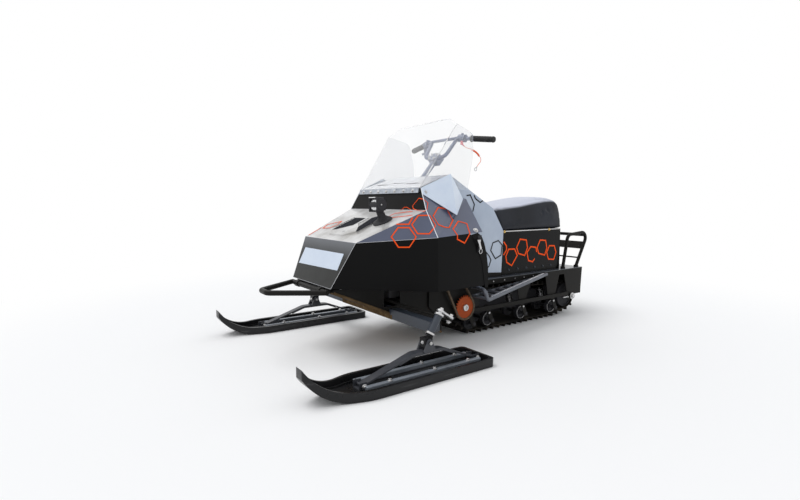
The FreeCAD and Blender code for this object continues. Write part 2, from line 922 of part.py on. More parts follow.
def belly_block(margin):
    """The belly's outer body, or its hollow when a margin is taken off every wall."""
    x0 = belly_front_x - margin
    x1 = belly_rear_x + margin
    lift = margin
    top = belly_top_z + margin
    ring = []
    for x in (x0, x1):
        half = belly_half(x) - margin
        z = belly_floor(x) + lift
        ring.append([V(x, half, z), V(x, half, top), V(x, -half, top), V(x, -half, z)])
    front, rear = [Part.makePolygon(r + r[:1]) for r in ring]
    return Part.makeLoft([front, rear], True, True)


def belly_pan():
    """An open tray under the hood, notched for the front beam and the tie rods."""
    tray = belly_block(0).cut(belly_block(belly_sheet))
    beam_hole = box(beam_x - beam_depth / 2 - seam_gap, beam_x + beam_depth / 2 + seam_gap,
                    -kingpin_y, kingpin_y, beam_low_z - seam_gap, beam_top_z + seam_gap)
    return tray.cut([beam_hole, rod_slot(0), mirrored(rod_slot(1))])


def engine_bearers():
    """The two cross members in the belly pan that carry the engine."""
    members = []
    for x in (engine_front_x - engine_foot, engine_rear_x + engine_foot):
        half = belly_half(x + engine_foot / 2) - belly_sheet - seam_gap
        members.append(box(x - engine_foot / 2, x + engine_foot / 2, -half, half,
                           engine_low_z - engine_foot / 2, engine_low_z))
    return Part.makeCompound(members)


def engine():
    """The engine as one plain block on its two cross members, with a finned cylinder."""
    crankcase = box(engine_rear_x, engine_front_x, -engine_half, engine_half,
                    engine_low_z + seam_gap, engine_top_z)
    cylinder = box(cylinder_x - cylinder_half, cylinder_x + cylinder_half, -cylinder_half, cylinder_half,
                   engine_top_z, cylinder_top_z)
    fins = []
    pitch = (cylinder_top_z - engine_top_z - cylinder_fin) / cylinder_fins
    reach = cylinder_half + cylinder_fin_reach
    for i in range(1, cylinder_fins + 1):
        z = engine_top_z + pitch * i
        fins.append(box(cylinder_x - reach, cylinder_x + reach, -reach, reach, z, z + cylinder_fin))
    return crankcase.fuse([cylinder] + fins)


def lean(angle):
    """Unit vector in the side plane that leans back from upright."""
    turn = math.radians(angle)
    return V(-math.sin(turn), 0, math.cos(turn))


def across(angle):
    """Unit vector square to a leaning axis, towards the rear and down."""
    turn = math.radians(angle)
    return V(-math.cos(turn), 0, -math.sin(turn))


COLUMN_LEAN = math.degrees(math.atan2(column_ref_x - column_clamp_x, column_clamp_z - column_ref_z))


def column_point(z):
    """A point on the steering axis at a height."""
    share = (z - column_ref_z) / (column_clamp_z - column_ref_z)
    return V(column_ref_x + (column_clamp_x - column_ref_x) * share, 0, z)


def kingpin_point(along):
    """A point on the left kingpin axis, measured up from the ski pivot."""
    return V(pivot_x, kingpin_y, pivot_z) + lean(kingpin_angle) * along


def arm_plane():
    """Distance up the kingpin to the middle of the steering arm."""
    return kingpin_low + kingpin_length + collar_height + running_fit + arm_thick / 2


def spindle_ball():
    """Centre of the left steering arm's ball."""
    return kingpin_point(arm_plane()) + across(kingpin_angle) * arm_length


def pitman_ball():
    """Where the stud for both tie rods leaves the steering column's arm."""
    return column_point(column_foot_z) + across(COLUMN_LEAN) * arm_length


def eye_drop(level):
    """How far a tie rod's inner eye lies below the arm: the left one first, the right one under it."""
    return pitman_gap + eye_thick / 2 + level * (eye_thick + eye_space)


def rod_slot(level):
    """The notch in the left belly wall, open upwards, that a tie rod passes with room to move."""
    share = (belly_half(beam_x) - pitman_ball().y) / (spindle_ball().y - pitman_ball().y)
    inner = pitman_ball() - lean(COLUMN_LEAN) * eye_drop(level)
    middle = inner + (spindle_ball() - inner) * share
    half_x = rod_radius + slot_margin + slot_margin
    half_z = rod_radius + slot_margin
    return box(middle.x - half_x, middle.x + half_x, middle.y - slot_margin, middle.y + slot_margin,
               middle.z - half_z, belly_top_z + slot_margin)


def front_beam():
    """The rectangular cross tube with a kingpin tube welded to each end."""
    inner_end = kingpin_y - kingpin_radius / 2
    closed = inner_end - collar_radius
    beam = box(beam_x - beam_depth / 2, beam_x + beam_depth / 2, -inner_end, inner_end,
               beam_low_z, beam_top_z)
    hollow = box(beam_x - beam_depth / 2 + beam_wall, beam_x + beam_depth / 2 - beam_wall,
                 -closed, closed,
                 beam_low_z + beam_wall, beam_top_z - beam_wall)
    beam = beam.cut(hollow)
    low = kingpin_point(kingpin_low)
    high = kingpin_point(kingpin_low + kingpin_length)
    tube = rod(low, high, kingpin_radius)
    axis = lean(kingpin_angle)
    collars = [rod(low, low + axis * collar_height, collar_radius),
               rod(high - axis * collar_height, high, collar_radius)]
    left = tube.fuse(collars)
    bore = rod(low - axis * collar_height, high + axis * collar_height, stem_radius + running_fit)
    whole = beam.fuse([left, mirrored(left)])
    return whole.cut([bore, mirrored(bore)])


def spindle():
    """The left kingpin stem with its steering arm on top and its ski foot below."""
    axis = lean(kingpin_angle)
    back = across(kingpin_angle)
    low = kingpin_point(0)
    top = kingpin_point(arm_plane() + arm_thick)
    stem = rod(kingpin_point(fork_pin), top, stem_radius)
    flange = rod(kingpin_point(kingpin_low - collar_height), kingpin_point(kingpin_low - running_fit),
                 collar_radius - collar_height / 2)
    block = box(pivot_x - fork_half, pivot_x + fork_half, kingpin_y - fork_half + ear_gap,
                kingpin_y + fork_half - ear_gap, pivot_z - fork_half, pivot_z + fork_half)
    arm_start = kingpin_point(arm_plane() - arm_thick / 2)
    hub = rod(arm_start, arm_start + axis * arm_thick, arm_width / 2 + arm_thick / 2)
    tip = arm_start + back * arm_length
    tip_disc = rod(tip, tip + axis * arm_thick, arm_width / 2)
    bar = Part.makeBox(arm_width, arm_length, arm_thick)
    frame = FreeCAD.Rotation(V(0, 1, 0), back, axis, "ZYX")
    bar.translate(V(-arm_width / 2, 0, 0))
    bar.Placement = FreeCAD.Placement(arm_start, frame).multiply(bar.Placement)
    stud = rod(tip - axis * (pitman_gap + eye_thick), tip + axis * arm_thick, stud_radius)
    pin = disc(pivot_x, pivot_z, kingpin_y - fork_half - ear_thick - pitman_gap * 2,
               kingpin_y + fork_half + ear_thick + pitman_gap * 2, fork_pin)
    body = stem.fuse([flange, block, hub, tip_disc, bar, stud, pin])
    return body


def tie_rod(level):
    """A left-hand tie rod from the steering arm's stud to its place on the column's stud."""
    start = spindle_ball() - lean(kingpin_angle) * (arm_thick / 2 + pitman_gap + eye_thick / 2)
    end = pitman_ball() - lean(COLUMN_LEAN) * eye_drop(level)
    shaft = rod(start, end, rod_radius)
    outer = rod(start - lean(kingpin_angle) * (eye_thick / 2), start + lean(kingpin_angle) * (eye_thick / 2),
                eye_radius)
    inner = rod(end - lean(COLUMN_LEAN) * (eye_thick / 2), end + lean(COLUMN_LEAN) * (eye_thick / 2),
                eye_radius)
    stud_hole = rod(start - lean(kingpin_angle) * eye_thick, spindle_ball(), stud_radius + running_fit)
    column_hole = rod(end - lean(COLUMN_LEAN) * eye_thick, pitman_ball(), stud_radius + pitman_gap)
    return shaft.fuse([outer, inner]).cut([stud_hole, column_hole])


def ski_profile(lift):
    """Side-view line of the ski's underside, raised by a lift, as edges."""
    rise = ski_tip_z - ski_rim
    run = ski_tip_x - ski_flat_x
    flat_end = V(ski_flat_x, 0, lift)
    tip = V(ski_tip_x, 0, rise + lift)
    middle = V(ski_flat_x + run * ski_curl_share, 0, lift + rise * ski_rise_share)
    rear = V(ski_rear_x, 0, lift)
    return [Part.LineSegment(rear, flat_end).toShape(), Part.Arc(flat_end, middle, tip).toShape()]


def ski_slab(low, high, half, reach):
    """A slab between two raised copies of the underside."""
    under = ski_profile(low)
    over = ski_profile(high)
    tip_low = under[1].Vertexes[-1].Point
    tip_high = over[1].Vertexes[-1].Point
    rear_low = under[0].Vertexes[0].Point
    rear_high = over[0].Vertexes[0].Point
    ring = Part.Wire(under + [Part.LineSegment(tip_low, tip_high).toShape()]
                     + [over[1].reversed(), over[0].reversed()]
                     + [Part.LineSegment(rear_high, rear_low).toShape()])
    slab = Part.Face(ring).extrude(V(0, half * 2, 0))
    slab.translate(V(0, kingpin_y - half, 0))
    plan = [V(ski_rear_x + reach, half, 0), V(ski_flat_x - ski_half / 2, half, 0),
            V(ski_tip_x - reach, ski_tip_half * half / ski_half, 0)]
    ring = plan + [V(p.x, -p.y, 0) for p in reversed(plan)]
    radii = [ski_corner, ski_front_radius, ski_wall, ski_wall, ski_front_radius, ski_corner]
    outline = Part.Face(rounded_ring(ring, radii)).extrude(V(0, 0, ski_tip_z * 2))
    outline.translate(V(0, kingpin_y, -ski_rim))
    return slab.common(outline)


def ski():
    """The left ski: a turned-up plastic trough with raised rims and a rib inside them."""
    body = ski_slab(0, ski_rim, ski_half, 0)
    trough = ski_slab(ski_floor, ski_rim * 2, ski_half - ski_wall, ski_wall)
    rib_half = ski_half - rib_out
    rib = ski_slab(ski_floor / 2, ski_floor + rib_height, rib_half, 0)
    inside = ski_slab(ski_floor, ski_rim, rib_half - rib_width, ski_wall)
    return body.cut(trough).fuse(rib.cut(inside))


def ski_bow():
    """The left ski's spring bow with its lower leaf, end brackets, pivot ears and runner bars."""
    half = bow_half
    flat_front = pivot_x + bow_flat
    flat_rear = pivot_x - bow_flat
    foot = ski_floor + seam_gap
    line = [V(bow_front_x, 0, foot + bow_thick * 2), V(flat_front, 0, bow_top_z),
            V(flat_rear, 0, bow_top_z), V(bow_rear_x, 0, foot + bow_thick * 2)]
    lower = [p - V(0, 0, bow_thick) for p in reversed(line)]
    radii = [0, ski_half, ski_half, 0, 0, ski_half - bow_thick, ski_half - bow_thick, 0]
    strap = Part.Face(rounded_ring(line + lower, radii)).extrude(V(0, half * 2, 0))
    strap.translate(V(0, kingpin_y - half, 0))
    inner = [line[1] + (line[0] - line[1]) * leaf_share, line[1], line[2],
             line[2] + (line[3] - line[2]) * leaf_share]
    upper = [p - V(0, 0, bow_thick - bow_thick / 4) for p in inner]
    under = [p - V(0, 0, bow_thick + leaf_thick) for p in reversed(inner)]
    radii = [0, ski_half - bow_thick, ski_half - bow_thick, 0, 0, ski_half / 2, ski_half / 2, 0]
    leaf = Part.Face(rounded_ring(upper + under, radii)).extrude(V(0, half * 2, 0))
    leaf.translate(V(0, kingpin_y - half, 0))
    pieces = [leaf]
    side_in = half + ear_gap
    side_out = side_in + bracket_wall
    for x in (bow_front_x, bow_rear_x):
        pieces.append(box(x - bracket_half, x + bracket_half, kingpin_y - side_out, kingpin_y + side_out,
                          foot, foot + bracket_wall))
        for y0, y1 in ((-side_out, -side_in), (side_in, side_out)):
            pieces.append(box(x - bracket_half, x + bracket_half, kingpin_y + y0, kingpin_y + y1,
                              foot, foot + bracket_height))
        pieces.append(disc(x, foot + bow_thick * 2, kingpin_y - side_out - bracket_wall,
                           kingpin_y + side_out + bracket_wall, bracket_bolt))
    ear_low = bow_top_z - bow_thick
    ear_round = fork_pin * 2
    for side in (-1, 1):
        y0 = kingpin_y + side * fork_half
        y1 = kingpin_y + side * (fork_half + ear_thick)
        ring = [(pivot_x - ear_length / 2, ear_low), (pivot_x + ear_length / 2, ear_low),
                (pivot_x + ear_length / 2, bow_top_z), (pivot_x + ear_round, pivot_z),
                (pivot_x - ear_round, pivot_z), (pivot_x - ear_length / 2, bow_top_z)]
        pieces.append(side_prism(ring, y0, y1))
        pieces.append(disc(pivot_x, pivot_z, y0, y1, ear_round))
    pieces.append(box(pivot_x - ear_length / 2, pivot_x + ear_length / 2,
                      kingpin_y - fork_half - ear_thick, kingpin_y + fork_half + ear_thick,
                      ear_low, bow_top_z))
    hole = disc(pivot_x, pivot_z, kingpin_y - ski_half, kingpin_y + ski_half, fork_pin + running_fit)
    bow = strap.fuse(pieces).cut(hole)
    bars = []
    for side in (-1, 1):
        y = kingpin_y + side * runner_out
        bars.append(box(bow_rear_x, bow_front_x, y - runner_width / 2, y + runner_width / 2,
                        foot, foot + runner_thick))
    return Part.makeCompound([bow] + bars)


def steering_column():
    """The leaning column with the arm for the tie rods at its foot."""
    axis = lean(COLUMN_LEAN)
    back = across(COLUMN_LEAN)
    foot = column_point(column_foot_z)
    top = column_point(column_clamp_z) - axis * (bar_radius + seam_gap)
    shaft = rod(foot, top, column_radius)
    tip = foot + back * arm_length
    plate = rod(foot, foot + axis * arm_thick, column_radius + arm_thick)
    round_end = rod(tip, tip + axis * arm_thick, arm_width / 2)
    stud = rod(tip - axis * (eye_drop(1) + eye_thick / 2 + pitman_gap), tip + axis * arm_thick, stud_radius)
    bar = Part.makeBox(arm_width, arm_length, arm_thick)
    bar.translate(V(-arm_width / 2, 0, 0))
    frame = FreeCAD.Rotation(V(0, 1, 0), back, axis, "ZYX")
    bar.Placement = FreeCAD.Placement(foot, frame).multiply(bar.Placement)
    return shaft.fuse([plate, bar, round_end, stud])


def column_support():
    """Two bearing collars round the column: one on leaning legs, one on a cross bar."""
    axis = lean(COLUMN_LEAN)
    centre = column_point(support_z)
    collar = rod(centre - axis * support_height, centre + axis * support_height,
                 column_radius + support_wall)
    legs = []
    for side in (-1, 1):
        foot = V(support_foot_x, side * support_foot_half, deck_top_z + seam_gap)
        top = centre + V(0, side * column_radius, 0)
        legs.append(rod(foot + V(0, 0, support_leg), top, support_leg))
        legs.append(Part.makeCylinder(support_leg * 2, support_leg + support_wall, foot))
    upper = collar.fuse(legs)
    lower = column_point(lower_bearing_z)
    ring = rod(lower - axis * support_height, lower + axis * support_height,
               column_radius + support_wall)
    half = belly_half(lower.x + support_leg * 2) - belly_sheet - seam_gap * 2
    bars = [box(lower.x - support_leg, lower.x + support_leg, -half, half,
                lower.z - support_leg, lower.z + support_leg)]
    for side in (-1, 1):
        bars.append(box(lower.x - support_leg * 2, lower.x + support_leg * 2, side * half,
                        side * (half - support_wall), belly_top_z - support_leg * 3,
                        lower.z + support_leg))
    hole = rod(column_point(column_foot_z), column_point(column_clamp_z), column_radius + running_fit)
    return Part.makeCompound([upper.cut(hole), ring.fuse(bars).cut(hole)])


def handlebar():
    """The low U bar with its cross tube, held in a clamp block."""
    clamp = column_point(column_clamp_z)
    half = []
    for side in (-1, 1):
        points = [V(clamp.x, 0, clamp.z), V(bar_knee_x, side * bar_knee_half, bar_knee_z),
                  V(bar_rise_x, side * bar_rise_half, bar_rise_z),
                  V(bar_end_x, side * bar_end_half, bar_end_z)]
        half.append(bent_tube(points, bar_radius, bar_bend))
    cross = rod(V(bar_rise_x, -bar_rise_half, bar_rise_z), V(bar_rise_x, bar_rise_half, bar_rise_z),
                cross_bar_radius)
    return half[0].fuse([half[1], cross])


def clamp_block():
    """The block on the column's head that grips the handlebar."""
    clamp = column_point(column_clamp_z)
    axis = lean(COLUMN_LEAN)
    block = Part.makeBox(clamp_depth, clamp_width, clamp_depth)
    block.translate(V(-clamp_depth / 2, -clamp_width / 2, -clamp_depth / 2))
    block.Placement = FreeCAD.Placement(clamp, FreeCAD.Rotation(V(0, 0, 1), axis)).multiply(
        block.Placement)
    groove = handlebar()
    shaft = rod(column_point(column_foot_z), clamp - axis * (bar_radius + seam_gap), column_radius)
    return block.cut([groove, shaft])


def grip(side):
    """A rubber grip round the end of the bar."""
    start = V(bar_rise_x, side * bar_rise_half, bar_rise_z)
    end = V(bar_end_x, side * bar_end_half, bar_end_z)
    run = (end - start).normalize()
    share = (grip_half - bar_rise_half) / (bar_end_half - bar_rise_half)
    inner = start + (end - start) * share
    outer = end + run * bar_radius / 2
    sleeve = rod(inner, outer, grip_radius)
    return sleeve.cut(rod(start, end, bar_radius))


def control(side, half, width, radius):
    """A clamp-on control housing on the bar with a button on top."""
    start = V(bar_rise_x, side * bar_rise_half, bar_rise_z)
    end = V(bar_end_x, side * bar_end_half, bar_end_z)
    share = (half - bar_rise_half) / (bar_end_half - bar_rise_half)
    middle = start + (end - start) * share
    run = (end - start).normalize() * (width / 2)
    button = Part.makeCylinder(button_radius, radius + button_height, middle)
    return rod(middle - run, middle + run, radius).fuse(button).cut(handlebar())


def control_core(side, half):
    """The round space that a control housing fills."""
    start = V(bar_rise_x, side * bar_rise_half, bar_rise_z)
    end = V(bar_end_x, side * bar_end_half, bar_end_z)
    share = (half - bar_rise_half) / (bar_end_half - bar_rise_half)
    middle = start + (end - start) * share
    run = (end - start).normalize() * (control_width / 2)
    return rod(middle - run, middle + run, control_radius)


def throttle_block():
    """The throttle housing with its thumb lever under the right grip."""
    housing = control(-1, throttle_half, control_width, control_radius)
    outer = -throttle_half - control_width / 2
    level = bar_end_z - grip_radius - thumb_width
    lever = box(bar_end_x + thumb_thick, bar_end_x + thumb_thick * 2, outer - thumb_length,
                outer + button_radius, level - thumb_width / 2, level + thumb_width / 2)
    root = box(bar_end_x + thumb_thick, bar_rise_x, outer, outer + button_radius, level - thumb_width / 2,
               bar_end_z)
    return housing.fuse([lever, root]).cut(handlebar())


def cord_tube(points, radius, label):
    """A tube along straight runs joined by arcs as large as the runs allow."""
    edges = []
    radii = []
    cursor = points[0]
    for i in range(1, len(points) - 1):
        corner = points[i]
        before = points[i - 1] - corner
        after = points[i + 1] - corner
        reach = min(before.Length, after.Length) * cord_reach_share
        before.normalize()
        after.normalize()
        half = before.getAngle(after) / 2
        bend = reach * math.tan(half)
        radii.append(round(bend, 1))
        middle = (before + after).normalize()
        centre = corner + middle * (bend / math.sin(half))
        edges.append(Part.LineSegment(cursor, corner + before * reach).toShape())
        edges.append(Part.Arc(corner + before * reach, centre - middle * bend,
                              corner + after * reach).toShape())
        cursor = corner + after * reach
    edges.append(Part.LineSegment(cursor, points[-1]).toShape())
    path = Part.Wire(edges)
    ring = Part.Wire(Part.makeCircle(radius, points[0], points[1] - points[0]))
    tube = path.makePipeShell([ring], True, False)
    share = tube.Volume / (path.Length * math.pi * radius ** 2)
    print(label, "radii", radii, "length", round(path.Length, 1), "volume share", round(share, 4))
    return tube


def lanyard_route(places):
    """Points of the lanyard from distances out of its clip and heights, in its own upright plane."""
    turn = math.radians(lanyard_turn_angle)
    return [V(lanyard_x - out * math.sin(turn), lanyard_y + out * math.cos(turn), z) for out, z in places]


def lanyard_clip():
    """The plug that holds the kill switch, with a neck that the cord leaves."""
    start, following = lanyard_route(lanyard_upper_route[:2])
    run = (following - start).normalize()
    root = start - run * clip_neck
    post = rod(root - V(0, 0, clip_radius / 2), V(root.x, root.y, root.z + clip_height), clip_radius)
    neck = rod(root, start, clip_neck_radius)
    return post.fuse(neck).cut(control_core(1, kill_switch_half))


def lanyard_hook():
    """A swivel and ring on the lanyard's free end."""
    before, end = lanyard_route(lanyard_lower_route[-2:])
    run = (end - before).normalize()
    swivel = rod(end, end + run * hook_swivel, hook_wire * 2)
    centre = end + run * (hook_swivel + hook_radius)
    ring = Part.makeTorus(hook_radius, hook_wire, centre, V(1, 0, 0))
    return swivel.fuse(ring)


def throttle_cable():
    """The cable from the throttle block down the steering column."""
    depth = column_radius + cable_radius + seam_gap
    low = column_point(cable_low_z)
    high = column_point(cable_high_z)
    points = [V(x, y, z) for x, y, z in cable_route]
    points += [V(high.x, -depth, high.z), V(low.x, -depth, low.z)]
    return cord_tube(points, cable_radius, "throttle cable").cut(control_core(-1, throttle_half))


def belt_hull(radius_extra):
    """Arcs and lines of the loop that wraps drive wheel, rollers and idler."""
    last = roller_first_x - roller_pitch * (roller_count - 1)
    roller_z = roller_radius + belt + lug_height
    wheels = [(drive_x, drive_z, drive_radius), (idler_x, idler_z, idler_radius),
              (last, roller_z, roller_radius), (guide_x, roller_z, roller_radius)]
    spots = []
    count = len(wheels)
    for i in range(count):
        x0, z0, r0 = wheels[i]
        x1, z1, r1 = wheels[(i + 1) % count]
        r0 += radius_extra
        r1 += radius_extra
        run = V(x1 - x0, 0, z1 - z0)
        along = math.atan2(run.z, run.x)
        tilt = math.acos((r0 - r1) / run.Length)
        angle = along - tilt
        ray = V(math.cos(angle), 0, math.sin(angle))
        spots.append((V(x0, 0, z0) + ray * r0, V(x1, 0, z1) + ray * r1))
    edges = []
    for i in range(count):
        x, z, r = wheels[i]
        begin = spots[i - 1][1]
        finish = spots[i][0]
        a = math.atan2(begin.z - z, begin.x - x)
        b = math.atan2(finish.z - z, finish.x - x)
        while b < a:
            b += 2 * math.pi
        middle = (a + b) / 2
        top = V(x + math.cos(middle) * (r + radius_extra), 0, z + math.sin(middle) * (r + radius_extra))
        edges.append(Part.Arc(begin, top, finish).toShape())
        edges.append(Part.LineSegment(finish, spots[i][1]).toShape())
    return edges


def track():
    """One rubber loop with its cross lugs standing out of it."""
    inner = Part.Face(Part.Wire(belt_hull(wheel_gap)))
    outer_wire = Part.Wire(belt_hull(belt))
    loop = Part.Face(outer_wire).cut(inner).extrude(V(0, track_half * 2, 0))
    lugs = []
    length = outer_wire.Length
    pitch = length / lug_count
    lengths = [edge.Length for edge in outer_wire.OrderedEdges]
    for i in range(lug_count):
        along = pitch * i
        index = 0
        while along > lengths[index]:
            along -= lengths[index]
            index += 1
        edge = outer_wire.OrderedEdges[index]
        first, last = edge.ParameterRange
        if edge.Orientation == "Reversed":
            spot_at = last - (last - first) * along / edge.Length
            way = edge.tangentAt(spot_at) * -1
        else:
            spot_at = first + (last - first) * along / edge.Length
            way = edge.tangentAt(spot_at)
        spot = edge.valueAt(spot_at)
        out = V(-way.z, 0, way.x)
        middle = V((drive_x + idler_x) / 2, 0, roller_radius * 2)
        if out.dot(spot - middle) < 0:
            out = out * -1
        foot = spot - out * (belt / 2)
        tip = spot + out * lug_height
        ring = [foot - way * (lug_foot / 2), foot + way * (lug_foot / 2), tip + way * (lug_tip / 2),
                tip - way * (lug_tip / 2)]
        lugs.append(Part.Face(Part.makePolygon(ring + ring[:1])).extrude(V(0, track_half * 2, 0)))
    loop = loop.fuse(lugs)
    loop.translate(V(0, -track_half, 0))
    return loop


def wheel_set(x, z, radius, stations, half_axle):
    """A cross axle with wheels at distances from the centre line, the first pair dished outside."""
    axle = disc(x, z, -half_axle, half_axle, axle_radius)
    wheels = []
    for y in stations:
        for side in (-1, 1):
            wheel = disc(x, z, side * (y - wheel_width / 2), side * (y + wheel_width / 2), radius)
            if y == stations[0]:
                face = side * (y + wheel_width / 2)
                dish = disc(x, z, face - side * wheel_recess, face, radius - wheel_rim)
                wheel = wheel.cut(dish.cut(disc(x, z, face - side * wheel_recess, face, hub_radius)))
            wheels.append(wheel)
    return axle.fuse(wheels)


def plate_inner():
    """Inner face of the side plates."""
    return deck_half - plate_sheet


def track_wheels():
    """Outer and inner wheels at the rollers and the front guide."""
    z = roller_radius + belt + lug_height
    outer = track_half - wheel_width
    sets = [wheel_set(guide_x, z, roller_radius, (outer, wheel_inner_y), plate_inner() - seam_gap)]
    for i in range(roller_count):
        x = roller_first_x - roller_pitch * i
        sets.append(wheel_set(x, z, roller_radius, (outer, wheel_inner_y), plate_inner() - seam_gap))
    return Part.makeCompound(sets)


def side_plate():
    """The left tunnel side: a plate with big windows and a tab for the rear axle."""
    y0 = plate_inner()
    outline = [(plate_front_x, deck_top_z - deck_sheet), (deck_rear_x, deck_top_z - deck_sheet),
               (deck_rear_x + plate_step, plate_low_z), (idler_x - tab_half, plate_low_z),
               (idler_x - tab_half + plate_step, idler_z - tab_drop),
               (idler_x + tab_half - plate_step, idler_z - tab_drop),
               (idler_x + tab_half, plate_low_z), (plate_front_x - plate_nose, plate_low_z),
               (plate_front_x, plate_low_z + plate_nose)]
    plate = side_prism(outline, y0, deck_half)
    cuts = []
    for front, rear in zip(window_fronts, window_rears):
        ring = [(front[0], window_low_z), (front[1], window_top_z), (rear[1], window_top_z),
                (rear[0], window_low_z)]
        cuts.append(side_prism(ring, y0 - plate_sheet, deck_half + plate_sheet))
    for x, z in ((drive_x, drive_z), (idler_x, idler_z)):
        cuts.append(disc(x, z, y0 - plate_sheet, deck_half + plate_sheet, axle_radius + running_fit))
    return plate.cut(cuts)


def deck():
    """The tunnel's top sheet."""
    return box(belly_rear_x - seam_gap, deck_rear_x, -deck_half, deck_half,
               deck_top_z - deck_sheet, deck_top_z)


def lower_rail():
    """The left lower bar with a hanger plate at every roller axle."""
    y0 = deck_half + seam_gap
    bar = box(rail_x_rear, rail_x_front, y0, y0 + rail_depth, rail_z - rail_height / 2,
              rail_z + rail_height / 2)
    return bar


def roller_arms():
    """Trailing arms that hang the guide and roller axles inside the side plates."""
    z = roller_radius + belt + lug_height
    y1 = plate_inner() - seam_gap
    y0 = y1 - plate_sheet - seam_gap * 2
    arms = []
    for i in range(-1, roller_count):
        x = guide_x if i < 0 else roller_first_x - roller_pitch * i
        top = x + arm_reach
        ring = [(x - hub_radius, z - hub_radius), (x + hub_radius, z - hub_radius),
                (top + hub_radius, rail_z + hub_radius), (top - hub_radius, rail_z + hub_radius)]
        arm = side_prism(ring, y0, y1).cut(disc(x, z, y0 - plate_sheet, y1 + plate_sheet,
                                                axle_radius + running_fit))
        arms += [arm, mirrored(arm)]
    return Part.makeCompound(arms)


def rear_axle():
    """The idler axle with its wheels."""
    outer = track_half - wheel_width
    return wheel_set(idler_x, idler_z, idler_radius, (outer, wheel_inner_y), deck_half + rail_depth)


def drive_axle():
    """The drive shaft with the wheels that pull the track."""
    outer = track_half - wheel_width * 2
    return wheel_set(drive_x, drive_z, drive_radius, (outer, wheel_inner_y), sprocket_y + sprocket_thick)


def pitch_radius(teeth):
    """Radius of the circle on which a sprocket's chain rollers sit."""
    return chain_pitch / (2 * math.sin(math.pi / teeth))


def chain_up():
    """Unit vector from the big sprocket to the small one."""
    turn = math.radians(chain_angle)
    return V(math.sin(turn), 0, math.cos(turn))


def sprocket(x, z, teeth, first):
    """A toothed disc with a gap at the first angle and tapered teeth between the rollers."""
    seat = pitch_radius(teeth) - chain_roller_radius - chain_fit
    tip = pitch_radius(teeth) + tooth_rise
    step = 2 * math.pi / teeth
    points = []
    for i in range(teeth):
        tooth = first + step * (i + 1 / 2)
        for radius, share in ((seat, -tooth_share), (tip, -tooth_share / 3), (tip, tooth_share / 3),
                              (seat, tooth_share)):
            angle = tooth + step * share
            points.append((x + radius * math.cos(angle), z + radius * math.sin(angle)))
    return side_prism(points, sprocket_y - sprocket_thick / 2, sprocket_y + sprocket_thick / 2)


def lowest_angle():
    """Direction from the big sprocket's axle to the roller at the middle of its wrap."""
    return math.atan2(-chain_up().z, -chain_up().x)


def chain_sprocket():
    """The big orange sprocket outside the left side plate."""
    body = sprocket(drive_x, drive_z, sprocket_teeth, lowest_angle())
    return body.cut(disc(drive_x, drive_z, sprocket_y - sprocket_thick,
                         sprocket_y + sprocket_thick, axle_radius + running_fit))


def pin_places():
    """Centres of the chain's rollers, evenly along its loop from the middle of the lower wrap."""
    up = chain_up()
    low = V(drive_x, 0, drive_z)
    high = low + up * chain_run
    r0 = pitch_radius(sprocket_teeth)
    r1 = pitch_radius(engine_sprocket_teeth)
    tilt = math.acos((r0 - r1) / chain_run)
    base = math.atan2(up.z, up.x)
    straight = math.sqrt(chain_run ** 2 - (r0 - r1) ** 2)
    lower_half = r0 * (math.pi - tilt)
    upper_wrap = r1 * tilt * 2
    total = lower_half * 2 + straight * 2 + upper_wrap
    count = round(total / chain_pitch)
    places = []
    for i in range(count):
        along = total * i / count
        if along < lower_half:
            angle = base + math.pi + along / r0
            places.append(low + V(math.cos(angle), 0, math.sin(angle)) * r0)
        elif along < lower_half + straight:
            ray = V(math.cos(base - tilt), 0, math.sin(base - tilt))
            share = (along - lower_half) / straight
            places.append(low + ray * r0 + (high - low + ray * (r1 - r0)) * share)
        elif along < lower_half + straight + upper_wrap:
            angle = base - tilt + (along - lower_half - straight) / r1
            places.append(high + V(math.cos(angle), 0, math.sin(angle)) * r1)
        elif along < total - lower_half:
            ray = V(math.cos(base + tilt), 0, math.sin(base + tilt))
            share = (total - lower_half - along) / straight
            places.append(low + ray * r0 + (high - low + ray * (r1 - r0)) * share)
        else:
            angle = base + math.pi - (total - along) / r0
            places.append(low + V(math.cos(angle), 0, math.sin(angle)) * r0)
    return places


def link_plate(one, two, y0, y1):
    """A link plate with pointed ends, reaching round two pins."""
    run = (two - one).normalize()
    side = V(-run.z, 0, run.x)
    end = run * chain_half_depth
    edge = side * (chain_half_depth * chain_edge_share)
    points = [one - end, one + edge, two + edge, two + end, two - edge, one - edge]
    return side_prism([(p.x, p.z) for p in points], y0, y1)


def chain():
    """The drive chain: inner and outer link plates in turn, with a roller at every pin."""
    pins = pin_places()
    count = len(pins)
    inner = roller_length / 2
    pieces = []
    for i in range(count):
        one = pins[i]
        two = pins[(i + 1) % count]
        start = inner + chain_plate * (i % 2)
        for y0, y1 in ((start, start + chain_plate), (-start - chain_plate, -start)):
            pieces.append(link_plate(one, two, sprocket_y + y0, sprocket_y + y1))
        ring = []
        for k in range(6):
            angle = math.pi * k / 3
            ring.append((one.x + chain_roller_radius * math.cos(angle),
                         one.z + chain_roller_radius * math.sin(angle)))
        pieces.append(side_prism(ring, sprocket_y - inner, sprocket_y + inner))
    return Part.makeCompound(pieces)


def engine_sprocket():
    """The small sprocket on the gearbox shaft inside the hood."""
    centre = V(drive_x, 0, drive_z) + chain_up() * chain_run
    places = pin_places()
    near = min(places, key=lambda p: abs((p - centre).Length - pitch_radius(engine_sprocket_teeth))
               + (centre + chain_up() * chain_pitch - p).Length)
    first = math.atan2(near.z - centre.z, near.x - centre.x)
    body = sprocket(centre.x, centre.z, engine_sprocket_teeth, first)
    shaft = disc(centre.x, centre.z, console_half, sprocket_y + sprocket_thick, axle_radius)
    return body.fuse(shaft)


